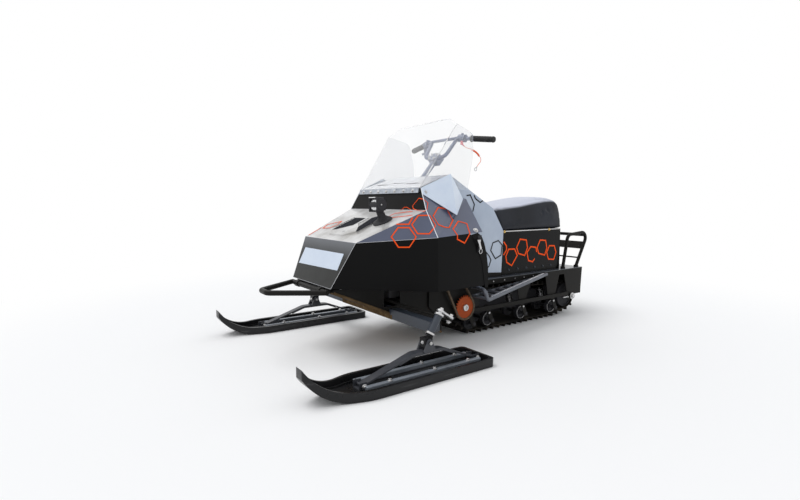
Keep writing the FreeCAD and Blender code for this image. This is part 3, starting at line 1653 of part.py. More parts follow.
def console():
    """The cover over tank and column, from the deck up to the dash."""
    ring = [(console_front_x, deck_top_z + seam_gap), (console_foot_x, deck_top_z + seam_gap),
            (console_rear_x, console_rear_z), (console_seat_x, console_seat_z),
            (console_peak_x, console_peak_z), (console_front_x, console_front_z)]
    body = side_prism(ring, -console_half, console_half)
    way = rod(column_point(column_foot_z), column_point(column_clamp_z), column_radius + column_way)
    return body.cut(way)


def seat_box():
    """The upright box that carries the seat."""
    return box(console_foot_x - box_lap, box_rear_x, -box_half, box_half,
               deck_top_z + seam_gap, box_top_z)


def seat():
    """The padded seat as a plain closed form."""
    low = box_top_z + seat_lift
    ring = [(seat_front_x - seat_step * 5, low), (seat_rear_x, low),
            (seat_rear_x + seat_step * 3, seat_peak_z - seat_step),
            (seat_rear_x + seat_step * 5, seat_peak_z), (seat_peak_x, seat_peak_z),
            (seat_front_x, seat_front_z + seat_step / 2), (seat_front_x - seat_step / 2, seat_front_z)]
    return side_prism(ring, -seat_half, seat_half)


def rear_rack():
    """Side hoops behind the seat joined by cross bars and a flat plate."""
    hoops = []
    rack_seat = deck_top_z + seam_gap
    rack_base = rack_seat + rack_radius / 2
    for side in (-1, 1):
        y = side * rack_half
        points = [V(rack_front_x, y, rack_base), V(rack_corner_x, y, rack_top_z),
                  V(rack_rear_x, y, rack_rear_z), V(rack_foot_x, y, rack_base)]
        hoop = bent_tube(points, rack_radius, rack_bend)
        for x in (rack_front_x, rack_foot_x):
            flange = Part.makeCylinder(rack_radius + rack_plate_thick, rack_radius, V(x, y, rack_seat))
            hoop = hoop.fuse(flange)
        hoops.append(hoop)
    foot = V(rack_foot_x, 0, deck_top_z)
    top = V(rack_rear_x, 0, rack_rear_z)
    head = corner_point(V(rack_corner_x, 0, rack_top_z), top, foot, rack_bend)
    bars = [rod(V(head.x, -rack_half, head.z), V(head.x, rack_half, head.z), rack_radius)]
    spot = foot + (top - foot) * rack_rod_share
    bars.append(rod(V(spot.x, -rack_half, spot.z), V(spot.x, rack_half, spot.z), rack_rod_radius))
    low = foot + (top - foot) * (rack_plate_share - rack_plate_height / (top - foot).Length / 2)
    plate = Part.makeBox(rack_plate_thick, rack_half * 2, rack_plate_height)
    plate.translate(V(-rack_plate_thick / 2, -rack_half, 0))
    plate.Placement = FreeCAD.Placement(low, FreeCAD.Rotation(V(0, 0, 1), top - foot)).multiply(
        plate.Placement)
    return hoops[0].fuse([hoops[1], plate] + bars)


def snow_flap():
    """The flap that hangs across the rear of the tunnel."""
    half = plate_inner() - seam_gap
    rear = deck_rear_x + flap_inset
    return box(rear, rear + flap_thick, -half, half, plate_low_z, deck_top_z - deck_sheet - seam_gap)


def tow_hitch():
    """A small tongue behind the deck with an upright pin hole."""
    tongue = box(deck_rear_x - hitch_reach, deck_rear_x + hitch_reach, -hitch_half, hitch_half,
                 deck_top_z + seam_gap, deck_top_z + seam_gap + hitch_thick)
    hole = Part.makeCylinder(hitch_hole, hitch_thick * 3,
                             V(deck_rear_x - hitch_reach + hitch_half, 0, deck_top_z - hitch_thick))
    return tongue.cut(hole)


def footboard():
    """The left footboard: a slotted tread plate inside a bent tube that rises to the rear."""
    y_in = deck_half + seam_gap
    root = V(board_root_x, y_in + board_flange, board_head_z)
    flange = disc(root.x, root.z, y_in, y_in + board_flange * 2, board_tube + board_flange)
    tube = bent_tube([root, V(board_head_x, board_outer, board_head_z),
                      V(board_front_x, board_outer, board_front_z),
                      V(board_rear_x, y_in + board_tube, board_rear_z)], board_tube, board_bend)
    edge = board_tube / 2
    front_x = board_front_x - edge
    rear_x = board_rear_x + edge
    front_z = board_front_z + board_sheet / 4
    rear_z = board_rear_z + board_sheet / 4
    ring = [V(front_x, y_in, front_z), V(front_x, board_outer - edge, front_z),
            V(rear_x, y_in + edge, rear_z), V(rear_x, y_in, rear_z)]
    plate = facet_solid(ring, [p - V(0, 0, board_sheet) for p in ring])
    pitch = (front_x - rear_x) / (slot_count + 1)
    cuts = []
    treads = []
    for i in range(slot_count):
        start = front_x - pitch * (i + 1 / 2)
        end = start - pitch * slot_share
        outer = board_outer - (board_outer - y_in) * (front_x - end) / (front_x - rear_x) - slot_edge
        if outer - y_in < slot_edge * 2:
            continue
        cuts.append(box(start, end, y_in + slot_edge, outer, front_z - board_sheet * 2,
                        rear_z + board_sheet))
        level = front_z + (rear_z - front_z) * (front_x - end) / (front_x - rear_x)
        treads.append(tread(end, y_in + slot_edge, outer, level))
    return plate.cut(cuts).fuse([tube, flange] + treads)


def tread(x, y0, y1, level):
    """An upturned toothed lip along the rear edge of a slot."""
    count = max(1, int((y1 - y0) / tread_tooth))
    step = (y1 - y0) / count
    points = [(y0, level - board_sheet / 2)]
    for i in range(count):
        points += [(y0 + step * i, level + tread_height / 2),
                   (y0 + step * (i + 1 / 2), level + tread_height)]
    points += [(y1, level + tread_height / 2), (y1, level - board_sheet / 2)]
    ring = [V(x, y, z) for y, z in points]
    return Part.Face(Part.makePolygon(ring + ring[:1])).extrude(V(-tread_thick, 0, 0))


def bumper():
    """The front loop: two legs to a flat nose and the cross tube that the hood hinges on."""
    left = V(bumper_foot_x, bumper_foot_half, bumper_z)
    near = V(bumper_reach - bumper_radius, bumper_nose_half, bumper_z)
    loop = bent_tube([left, near, flip(near), flip(left)], bumper_radius, bumper_bend)
    cross = rod(left, flip(left), bumper_radius)
    lugs = []
    for side in (-1, 1):
        y = side * (bumper_foot_half - bumper_lug)
        lugs.append(box(belly_front_x + seam_gap, bumper_foot_x, y - bumper_lug / 2, y + bumper_lug / 2,
                        bumper_z - bumper_radius / 3, bumper_z + bumper_radius / 2))
    return loop.fuse([cross] + lugs)


def hood_hinges():
    """Two sleeves round the bumper's cross tube with straps up behind the nose panel."""
    nose = FACE["nose"]
    up = V(nose_top_x, 0, nose_top_z - nose_bottom_z).normalize()
    pieces = []
    for side in (-1, 1):
        y = side * sleeve_half
        sleeve = disc(bumper_foot_x, bumper_z, y - sleeve_width / 2, y + sleeve_width / 2,
                      bumper_radius + running_fit + sleeve_wall)
        root = V(0, y - sleeve_width / 2, nose_bottom_z) - nose * (sheet + seam_gap)
        high = root + up * strap_height
        inner = root - nose * sleeve_wall
        foot = V(inner.x, root.y, bumper_z + sleeve_wall)
        front = V(bumper_foot_x - sleeve_wall, root.y, bumper_z + bumper_radius + sleeve_wall / 4)
        ring = [high, high - nose * sleeve_wall, inner, foot, front, root]
        face = Part.Face(Part.makePolygon(ring + ring[:1]))
        strap = face.extrude(V(0, sleeve_width, 0))
        bore = disc(bumper_foot_x, bumper_z, y - sleeve_width, y + sleeve_width,
                    bumper_radius + running_fit)
        pieces.append(sleeve.fuse(strap).cut(bore))
    return Part.makeCompound(pieces)


def build():
    """Every piece by its node name."""
    cords = {}
    for name, route, radius in (("upper_cord", lanyard_upper_route, lanyard_radius),
                                ("coil", lanyard_coil_route, lanyard_coil_radius),
                                ("lower_cord", lanyard_lower_route, lanyard_radius)):
        cords["lanyard_" + name] = cord_tube(lanyard_route(route), radius, name)
    pieces = {
        "nose_panel": centre_panel("nose_low", "nose_top"),
        "hood_top": hood_top(),
        "cowl_panel": centre_panel("cowl_foot", "cowl_head"),
        "hood_side_panels": both(hood_side_panel()),
        "hood_front_facets": both(side_panel("nose_top", "bend_top", "cowl_foot")),
        "hood_rear_facets": both(hood_rear_facet()),
        "cowl_strip": cowl_strip(),
        "dash_cover": dash_cover(),
        "dash_shells": both(side_shell()),
        "windshield": windshield(),
        "headlamp": headlamp(),
        "headlamp_bracket": lamp_bracket(),
        "hood_latches": both(hood_latch()),
        "belly_pan": belly_pan(),
        "engine_bearers": engine_bearers(),
        "engine": engine(),
        "front_beam": front_beam(),
        "bumper": bumper(),
        "hood_hinges": hood_hinges(),
        "deck": deck(),
        "side_plates": both(side_plate()),
        "lower_rails": both(lower_rail()),
        "track": track(),
        "track_wheels": track_wheels(),
        "roller_arms": roller_arms(),
        "rear_axle": rear_axle(),
        "drive_axle": drive_axle(),
        "chain_sprocket": chain_sprocket(),
        "engine_sprocket": engine_sprocket(),
        "chain": chain(),
        "console": console(),
        "seat_box": seat_box(),
        "seat": seat(),
        "rear_rack": rear_rack(),
        "snow_flap": snow_flap(),
        "tow_hitch": tow_hitch(),
        "footboards": both(footboard()),
        "column_support": column_support(),
        "steering_column": steering_column(),
        "handlebar": handlebar(),
        "handlebar_clamp": clamp_block(),
        "grips": Part.makeCompound([grip(1), grip(-1)]),
        "kill_switch_block": control(1, kill_switch_half, control_width, control_radius),
        "throttle_block": throttle_block(),
        "throttle_cable": throttle_cable(),
        "lanyard_clip": lanyard_clip(),
        "lanyard_hook": lanyard_hook(),
    }
    pieces.update(cords)
    pieces["tie_rod_left"] = tie_rod(0)
    pieces["tie_rod_right"] = mirrored(tie_rod(1))
    left = {"spindle": spindle(), "ski": ski(), "ski_bow": ski_bow()}
    for name, shape in left.items():
        pieces[name + "_left"] = shape
        pieces[name + "_right"] = mirrored(shape)
    return pieces


def rear_reach():
    """Rearmost station of the machine, on the rounded corner of the rack."""
    top = V(rack_rear_x, 0, rack_rear_z)
    one = (V(rack_corner_x, 0, rack_top_z) - top).normalize()
    two = (V(rack_foot_x, 0, deck_top_z + seam_gap + rack_radius / 2) - top).normalize()
    half = one.getAngle(two) / 2
    centre = top + (one + two).normalize() * (rack_bend / math.sin(half))
    return centre.x - rack_bend - rack_radius


def main():
    """Move the origin under the middle of the outline and write every piece."""
    os.makedirs("parts", exist_ok=True)
    shift = V(-(ski_tip_x + rear_reach()) / 2, 0, 0)
    for name, shape in build().items():
        shape.translate(shift)
        shape.exportStep("parts/" + name + ".step")
    print("shift", round(shift.x, 3))
    for label, point in (("spindle ball", spindle_ball()), ("pitman ball", pitman_ball()),
                         ("column foot", column_point(column_foot_z)), ("ski pivot", kingpin_point(0))):
        moved = point + shift
        print(label, [round(v, 3) for v in (moved.x, moved.y, moved.z)])
    print("column lean", round(COLUMN_LEAN, 4))


main()
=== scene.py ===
"""Looks of a two-ski utility snowmobile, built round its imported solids.

Every place is in metres in the frame of the solids: +X forward, +Y to the rider's left, +Z up.
Stations along the machine are counted from the bottom edge of the nose panel.
"""
import json
import math

import bmesh
import bpy
from bpy.props import FloatProperty, FloatVectorProperty, PointerProperty
from bpy.types import Operator, Panel, PropertyGroup
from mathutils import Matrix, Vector
from mathutils.bvhtree import BVHTree

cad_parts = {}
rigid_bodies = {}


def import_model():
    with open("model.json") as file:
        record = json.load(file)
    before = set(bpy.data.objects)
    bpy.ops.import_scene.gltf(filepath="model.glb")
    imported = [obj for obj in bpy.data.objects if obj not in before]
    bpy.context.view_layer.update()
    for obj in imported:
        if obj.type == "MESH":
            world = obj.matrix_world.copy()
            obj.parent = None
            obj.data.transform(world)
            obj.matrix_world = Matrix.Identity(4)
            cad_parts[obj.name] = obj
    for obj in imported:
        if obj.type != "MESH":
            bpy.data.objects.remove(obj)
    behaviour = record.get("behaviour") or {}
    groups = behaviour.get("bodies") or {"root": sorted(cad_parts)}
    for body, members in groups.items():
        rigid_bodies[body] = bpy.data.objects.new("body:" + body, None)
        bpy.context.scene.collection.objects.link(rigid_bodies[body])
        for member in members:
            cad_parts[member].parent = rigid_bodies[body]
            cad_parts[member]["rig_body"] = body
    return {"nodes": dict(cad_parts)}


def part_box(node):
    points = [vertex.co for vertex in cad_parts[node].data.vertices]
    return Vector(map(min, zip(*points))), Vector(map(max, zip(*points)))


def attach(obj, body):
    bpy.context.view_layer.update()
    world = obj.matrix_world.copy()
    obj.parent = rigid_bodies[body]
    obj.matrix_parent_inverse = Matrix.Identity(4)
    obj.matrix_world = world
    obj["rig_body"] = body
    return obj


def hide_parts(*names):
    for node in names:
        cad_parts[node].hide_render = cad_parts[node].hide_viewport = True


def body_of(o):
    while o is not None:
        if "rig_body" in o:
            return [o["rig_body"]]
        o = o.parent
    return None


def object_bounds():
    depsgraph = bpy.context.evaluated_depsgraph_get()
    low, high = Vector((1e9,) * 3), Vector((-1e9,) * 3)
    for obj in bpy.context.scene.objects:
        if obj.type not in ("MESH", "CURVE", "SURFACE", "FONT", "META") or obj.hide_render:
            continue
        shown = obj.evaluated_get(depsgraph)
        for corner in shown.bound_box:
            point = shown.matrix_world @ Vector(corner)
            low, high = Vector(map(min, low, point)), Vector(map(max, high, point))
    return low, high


bl_info = {
    "name": "Snowmobile Looks",
    "version": (1, 0, 0),
    "blender": (4, 5, 0),
    "location": "View3D > Sidebar > Snowmobile",
    "description": "Finishes, trim and soft parts of a utility snowmobile",
    "category": "Object",
}

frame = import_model()
CAD_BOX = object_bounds()
NOSE_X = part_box("nose_panel")[1][0]

# The photograph's frame and the camera that took it, from the nose's bottom edge
IMAGE_WIDTH = 800
IMAGE_HEIGHT = 500
FOCAL_PIXELS = 468.79
SENSOR_WIDTH = 36.0
CAMERA_PLACE = (0.98987, 2.18853, 0.76451)
CAMERA_YAW = 0.955055
CAMERA_PITCH = 0.09959

FRONT_AXIS = Vector((1, 0, 0))
SIDE_AXIS = Vector((0, 1, 0))
UP_AXIS = Vector((0, 0, 1))


def at(x, y, z):
    """A point given by its station behind the nose, its side and its height."""
    return Vector((NOSE_X + x, y, z))


def camera_axes():
    """Look, right and up directions of the camera."""
    level = math.cos(CAMERA_PITCH)
    look = Vector((-math.cos(CAMERA_YAW) * level, -math.sin(CAMERA_YAW) * level, -math.sin(CAMERA_PITCH)))
    right = look.cross(UP_AXIS).normalized()
    return look, right, right.cross(look)


def pixel_ray(pixel):
    """Direction from the camera through a pixel of the photograph."""
    look, right, up = camera_axes()
    across = (pixel[0] - IMAGE_WIDTH / 2) / FOCAL_PIXELS
    above = (IMAGE_HEIGHT / 2 - pixel[1]) / FOCAL_PIXELS
    return (look + right * across + up * above).normalized()


def length_prop(label, text, value, high=1.0):
    """A size that a user may change."""
    return FloatProperty(name=label, description=text, default=value, min=0.0, max=high, precision=4,
                         unit="LENGTH")


def colour_prop(label, text, value):
    """A colour that a user may change."""
    return FloatVectorProperty(name=label, description=text, default=value, size=3, min=0.0, max=1.0,
                               subtype="COLOR")


class FinishColours(PropertyGroup):
    """Colours of the machine's finishes."""
    black_sheet: colour_prop("Black Sheet", "Side panels, nose and cowl", (0.0035, 0.0035, 0.0037))
    facet_blue: colour_prop("Facet Blue", "Slanting hood facets", (0.082, 0.096, 0.150))
    shell_pale: colour_prop("Pale Shell", "Side shells", (0.74, 0.83, 0.95))
    console_pale: colour_prop("Console", "Cover over tank and column", (0.50, 0.57, 0.68))
    top_white: colour_prop("Hood Top", "Glossy hood top", (0.80, 0.80, 0.81))
    line_orange: colour_prop("Orange Lines", "Hexagon outlines", (1.0, 0.105, 0.014))
    frame_grey: colour_prop("Frame", "Tunnel, bumper and rack", (0.0105, 0.0100, 0.0092))
    steel: colour_prop("Steel", "Bare and zinc-plated steel", (0.62, 0.62, 0.63))
    brass: colour_prop("Yellow Zinc", "Yellow plated screws", (0.62, 0.45, 0.17))
    sprocket_orange: colour_prop("Sprocket", "Painted chain sprocket", (0.42, 0.068, 0.011))
    chain_brown: colour_prop("Chain", "Oiled chain", (0.10, 0.072, 0.046))
    rubber: colour_prop("Rubber", "Track, flap and grips", (0.0065, 0.0065, 0.0065))
    plastic: colour_prop("Black Plastic", "Skis, wheels and switch housings", (0.010, 0.010, 0.011))
    seat_vinyl: colour_prop("Seat Vinyl", "Seat cover", (0.0085, 0.0100, 0.0145))
    clip_pink: colour_prop("Switch Plug", "Plug of the kill switch", (0.80, 0.17, 0.20))
    cord_orange: colour_prop("Lanyard", "Coiled lanyard", (0.95, 0.13, 0.02))
    # The handlebar's blue-grey is partly its paint and partly a painted reflection of the blue sky
    bar_blue: colour_prop("Handlebar", "Handlebar and switch housings", (0.115, 0.14, 0.23))
    beam_blue: colour_prop("Beam", "Front beam and deck", (0.026, 0.033, 0.046))
    bow_grey: colour_prop("Ski Bow", "Spring bows of the skis", (0.040, 0.043, 0.052))
    plate_pale: colour_prop("Nose Plate", "Blank plate on the nose", (0.60, 0.68, 0.80))
    belly_brown: colour_prop("Belly Strip", "Strip along the belly's lower edges", (0.16, 0.105, 0.055))
    dust: colour_prop("Dust", "Dry dust on the running gear", (0.11, 0.088, 0.064))


class TrimSizes(PropertyGroup):
    """Sizes of thin trim and of the seat's pad."""
    hood_line: length_prop("Hood Line", "Width of the hood's outlines", 0.0062)
    cowl_line: length_prop("Cowl Line", "Width of the cowl's outlines", 0.003)
    box_line: length_prop("Box Line", "Width of the seat box's outlines", 0.0085)
    console_line: length_prop("Console Line", "Width of the console's outlines", 0.0075)
    dash_slot: length_prop("Dash Slot", "Width of the dash's slots", 0.009)
    # The hood and cowl edges are radii of thin pale wires that paint in the highlights of the folded edges
    hood_edge: length_prop("Hood Edge", "Radius of the hood's folded edges", 0.0011)
    cowl_edge: length_prop("Cowl Edge", "Radius of the cowl's pale edge", 0.0021)
    latch_wire: length_prop("Latch Wire", "Radius of the latch rings' wire", 0.0019)
    roller_rim: length_prop("Roller Rim", "Radius of the rollers' bright rims", 0.0012)
    belly_strip: length_prop("Belly Strip", "Radius of the belly's edge strips", 0.0062)
    runner_top: length_prop("Runner Top", "Height of the skis' runner bars", 0.034)
    seat_cell: length_prop("Seat Cell", "Size of the cells of the seat's new mesh", 0.0085)
    seat_swell: length_prop("Seat Swell", "How far the seat's pad may swell", 0.006)
    seat_pressure: FloatProperty(name="Seat Pressure", description="Pressure that blows the seat's pad up",
                                 default=4.0, min=0.0, max=20.0)


class StageSettings(PropertyGroup):
    """Light and floor."""
    sky_level: FloatProperty(name="Sky Level", description="Strength of the soft light all round",
                             default=0.72, min=0.0, max=2.0)
    key_level: FloatProperty(name="Key Level", description="Strength of the soft sun from above",
                             default=1.15, min=0.0, max=10.0)
    key_angle: FloatProperty(name="Key Softness", description="Angular size of the soft sun",
                             default=math.radians(35), subtype="ANGLE")
    floor_size: length_prop("Floor Size", "Half width of the floor", 30.0, 100.0)


def colours():
    """The finish colours of this scene."""
    return bpy.context.scene.snowmobile_colours


def sizes():
    """The trim sizes of this scene."""
    return bpy.context.scene.snowmobile_sizes


def rgba(colour, level=1.0):
    """A colour with full alpha."""
    return (colour[0] * level, colour[1] * level, colour[2] * level, 1.0)


# Nodes and shader groups

def add(tree, kind, links=None, **values):
    """A node with its properties set and its inputs linked or filled."""
    node = tree.nodes.new("ShaderNode" + kind)
    for key, value in values.items():
        setattr(node, key, value)
    for key, value in (links or {}).items():
        socket = node.inputs[key]
        if isinstance(value, bpy.types.NodeSocket):
            tree.links.new(value, socket)
        else:
            socket.default_value = value
    return node


def sum_of(tree, operation, *values, clamp=False):
    """The result of a sum with sockets or numbers."""
    return add(tree, "Math", dict(enumerate(values)), operation=operation, use_clamp=clamp).outputs[0]


def ranged(tree, value, low, high, top=1.0, **options):
    """How far a value has come on its way from low to high, from 0 to top."""
    return add(tree, "MapRange", {"Value": value, "From Min": low, "From Max": high, "To Max": top},
               **options).outputs[0]


def mixed(tree, mask, first, second):
    """A colour between two, by a mask."""
    return add(tree, "Mix", {"Factor": mask, "A": first, "B": second}, data_type="RGBA").outputs["Result"]


def noise_at(tree, place, scale, detail, roughness=0.5):
    """A cloudy value."""
    return add(tree, "TexNoise", {"Vector": place, "Scale": scale, "Detail": detail,
                                  "Roughness": roughness}).outputs["Fac"]


def height_of(tree, vector):
    """The upward part of a vector."""
    return add(tree, "SeparateXYZ", {0: vector}).outputs["Z"]


def object_place(tree):
    """Coordinates that stay with the piece."""
    return add(tree, "TexCoord").outputs["Object"]


def shader_group(name, inputs, outputs):
    """A new shader group, the sockets that come into it and those that leave it."""
    group = bpy.data.node_groups.new(name, "ShaderNodeTree")
    for label, kind, value in inputs:
        socket = group.interface.new_socket(label, in_out="INPUT", socket_type="NodeSocket" + kind)
        socket.default_value = value
    for label, kind in outputs:
        group.interface.new_socket(label, in_out="OUTPUT", socket_type="NodeSocket" + kind)
    return group, group.nodes.new("NodeGroupInput").outputs, group.nodes.new("NodeGroupOutput").inputs


def coat_group(name):
    """Patchy tone, fine grain and uneven gloss of a painted or moulded surface; on the hood top the patches
    are painted reflections.
    """
    group, given, result = shader_group(
        name,
        [("Colour", "Color", (0.5, 0.5, 0.5, 1)), ("Fade", "Color", (0.6, 0.6, 0.6, 1)),
         ("Amount", "Float", 0.3), ("Patch Scale", "Float", 6.0), ("Grain Scale", "Float", 900.0),
         ("Roughness", "Float", 0.4), ("Spread", "Float", 0.1)],
        [("Colour", "Color"), ("Roughness", "Float"), ("Height", "Float")])
    place = object_place(group)
    patch = noise_at(group, place, given["Patch Scale"], detail=5.0, roughness=0.6)
    share = sum_of(group, "MULTIPLY", ranged(group, patch, low=0.35, high=0.7), given["Amount"])
    offset = sum_of(group, "SUBTRACT", patch, 0.5)
    rough = sum_of(group, "MULTIPLY_ADD", offset, given["Spread"], given["Roughness"])
    group.links.new(mixed(group, share, given["Colour"], given["Fade"]), result["Colour"])
    group.links.new(rough, result["Roughness"])
    group.links.new(noise_at(group, place, given["Grain Scale"], detail=2.0), result["Height"])
    return group


def film_group(name):
    """Dust that thickens towards the snow and gathers in patches."""
    group, given, result = shader_group(
        name,
        [("Colour", "Color", (0.5, 0.5, 0.5, 1)), ("Dust", "Color", (0.3, 0.25, 0.2, 1)),
         ("Amount", "Float", 0.3), ("Top", "Float", 0.5), ("Scale", "Float", 14.0)],
        [("Colour", "Color")])
    place = object_place(group)
    low = ranged(group, height_of(group, place), low=given["Top"], high=0.0)
    clouds = noise_at(group, place, given["Scale"], detail=7.0, roughness=0.65)
    patch = ranged(group, clouds, low=0.42, high=0.72)
    share = sum_of(group, "MULTIPLY", low, patch)
    mask = sum_of(group, "MULTIPLY", share, given["Amount"], clamp=True)
    group.links.new(mixed(group, mask, given["Colour"], given["Dust"]), result["Colour"])
    return group


def scratch_group(name):
    """Fine scratches and brush marks along one direction."""
    group, given, result = shader_group(
        name, [("Scale", "Float", 30.0), ("Stretch", "Vector", (0.06, 1.0, 1.0))],
        [("Mask", "Float"), ("Height", "Float")])
    mapped = add(group, "Mapping", {"Vector": object_place(group), "Scale": given["Stretch"]})
    marks = noise_at(group, mapped.outputs[0], given["Scale"], detail=6.0, roughness=0.7)
    group.links.new(ranged(group, marks, low=0.58, high=0.66), result["Mask"])
    group.links.new(marks, result["Height"])
    return group


def painted_light_group(name):
    """Painted light: a colour that grows paler as the height of a place or of a facing rises from low to
    high.
    """
    group, given, result = shader_group(
        name,
        [("Colour", "Color", (0.5, 0.5, 0.5, 1)), ("Pale", "Color", (0.6, 0.6, 0.6, 1)),
         ("Place", "Vector", (0.0, 0.0, 0.0)), ("Low", "Float", 0.0), ("High", "Float", 1.0)],
        [("Colour", "Color")])
    mask = ranged(group, height_of(group, given["Place"]), given["Low"], given["High"], top=0.95)
    group.links.new(mixed(group, mask, given["Colour"], given["Pale"]), result["Colour"])
    return group


# What builds each shader group
GROUPS = {"Coat": coat_group, "Dust Film": film_group, "Scratches": scratch_group, "Pale Above": painted_light_group}


def use_group(tree, name, links):
    """A shader group, built at its first use, placed in a material with its own values."""
    group = bpy.data.node_groups.get(name) or GROUPS[name](name)
    return add(tree, "Group", links, node_tree=group).outputs


# Materials: gloss of a clear coat, how a colour fades and wears where no other is given, and
# samples of an edge's rounding
COAT_ROUGHNESS = 0.08
FADE_LEVEL = 1.7
WORN_LEVEL = 2
WORN_LIFT = 0.06
BEVEL_SAMPLES = 4


def coated(name, colour, fade=None, amount=0.35, patch=6.0, roughness=0.4, spread=0.15, metallic=0.0,
           grain=900.0, bump=0.00008, coat=0.0, specular=0.5, film=0.0, film_top=0.5, scratch=0.0,
           stretch=(0.06, 1.0, 1.0), edge=0.0, extra=None):
    """A painted, plated, moulded or rubber surface; a colour may be the name of a finish colour."""
    if isinstance(colour, str):
        colour = getattr(colours(), colour)
    material = bpy.data.materials.new(name)
    material.use_nodes = True
    tree = material.node_tree
    shader = tree.nodes["Principled BSDF"].inputs
    shader["Metallic"].default_value = metallic
    shader["Coat Weight"].default_value = coat
    shader["Coat Roughness"].default_value = COAT_ROUGHNESS
    shader["Specular IOR Level"].default_value = specular
    base = use_group(tree, "Coat", {
        "Colour": rgba(colour), "Fade": rgba(fade) if fade else rgba(colour, FADE_LEVEL), "Amount": amount,
        "Patch Scale": patch, "Grain Scale": grain, "Roughness": roughness, "Spread": spread})
    top = base["Colour"]
    height = base["Height"]
    if scratch:
        marks = use_group(tree, "Scratches", {"Stretch": stretch})
        worn = sum_of(tree, "MULTIPLY", marks["Mask"], scratch)
        top = mixed(tree, worn, top, rgba([min(1.0, c * WORN_LEVEL + WORN_LIFT) for c in colour]))
        height = sum_of(tree, "ADD", marks["Height"], height)
    if film:
        top = use_group(tree, "Dust Film", {"Colour": top, "Dust": rgba(colours().dust), "Amount": film,
                                            "Top": film_top})["Colour"]
    tree.links.new(top, shader["Base Color"])
    tree.links.new(base["Roughness"], shader["Roughness"])
    bumps = add(tree, "Bump", {"Height": height, "Distance": bump, "Strength": 1.0})
    if edge:
        rounding = add(tree, "Bevel", {"Radius": edge}, samples=BEVEL_SAMPLES)
        tree.links.new(rounding.outputs[0], bumps.inputs["Normal"])
    tree.links.new(bumps.outputs[0], shader["Normal"])
    if extra:
        extra(tree, shader)
    return material


def linked(socket):
    """What feeds a socket."""
    return socket.links[0].from_socket


# Fine mesh: cells to a metre, half a wire's width in cells, and the wires' colour
WEB_SCALE = 260.0
WEB_WIDTH = 0.12
WEB_COLOUR = (0.05, 0.052, 0.06, 1)


def add_web(tree, shader):
    """Fine paler wires over a dark sheet."""
    cells = add(tree, "TexVoronoi", {"Vector": object_place(tree), "Scale": WEB_SCALE},
                feature="DISTANCE_TO_EDGE")
    web = sum_of(tree, "LESS_THAN", cells.outputs["Distance"], WEB_WIDTH)
    tree.links.new(mixed(tree, web, linked(shader["Base Color"]), WEB_COLOUR), shader["Base Color"])


# Where a painted shine makes the nose pale, by height, and to what
NOSE_PAINTED_SHINE = {"Low": 0.50, "High": 0.60, "Pale": (0.19, 0.20, 0.22, 1)}


def add_nose_painted_shine(tree, shader):
    """A cloudy grey shine painted into the colour towards the top edge of the nose."""
    paler = use_group(tree, "Pale Above", {"Colour": linked(shader["Base Color"]),
                                           "Place": object_place(tree), **NOSE_PAINTED_SHINE})
    tree.links.new(paler["Colour"], shader["Base Color"])


# Height above which the spindles are bare
STEEL_ABOVE = 0.215


def add_steel_above(tree, shader):
    """Painted below a height and zinc-plated above it."""
    mask = sum_of(tree, "GREATER_THAN", height_of(tree, object_place(tree)), STEEL_ABOVE)
    both = mixed(tree, mask, linked(shader["Base Color"]), rgba(colours().steel))
    tree.links.new(both, shader["Base Color"])
    tree.links.new(mask, shader["Metallic"])


# How far a face of the seat looks up where a painted sheen makes it pale, to what, and the vinyl's pebbles
SEAT_PAINTED_SHEEN = {"Low": 0.5, "High": 0.93, "Pale": (0.60, 0.63, 0.74, 1)}
PEBBLE_SCALE = 380.0
PEBBLE_HEIGHT = 0.00025
PEBBLE_STRENGTH = 0.6


def add_seat_painted_sheen(tree, shader):
    """Vinyl with a painted sheen, pale where it faces up, and a pebbled grain."""
    facing = add(tree, "NewGeometry").outputs["Normal"]
    paler = use_group(tree, "Pale Above", {"Colour": linked(shader["Base Color"]), "Place": facing,
                                           **SEAT_PAINTED_SHEEN})
    tree.links.new(paler["Colour"], shader["Base Color"])
    cells = add(tree, "TexVoronoi", {"Vector": object_place(tree), "Scale": PEBBLE_SCALE})
    pebbles = add(tree, "Bump", {"Height": cells.outputs["Distance"], "Distance": PEBBLE_HEIGHT,
                                 "Strength": PEBBLE_STRENGTH, "Normal": linked(shader["Normal"])})
    tree.links.new(pebbles.outputs[0], shader["Normal"])


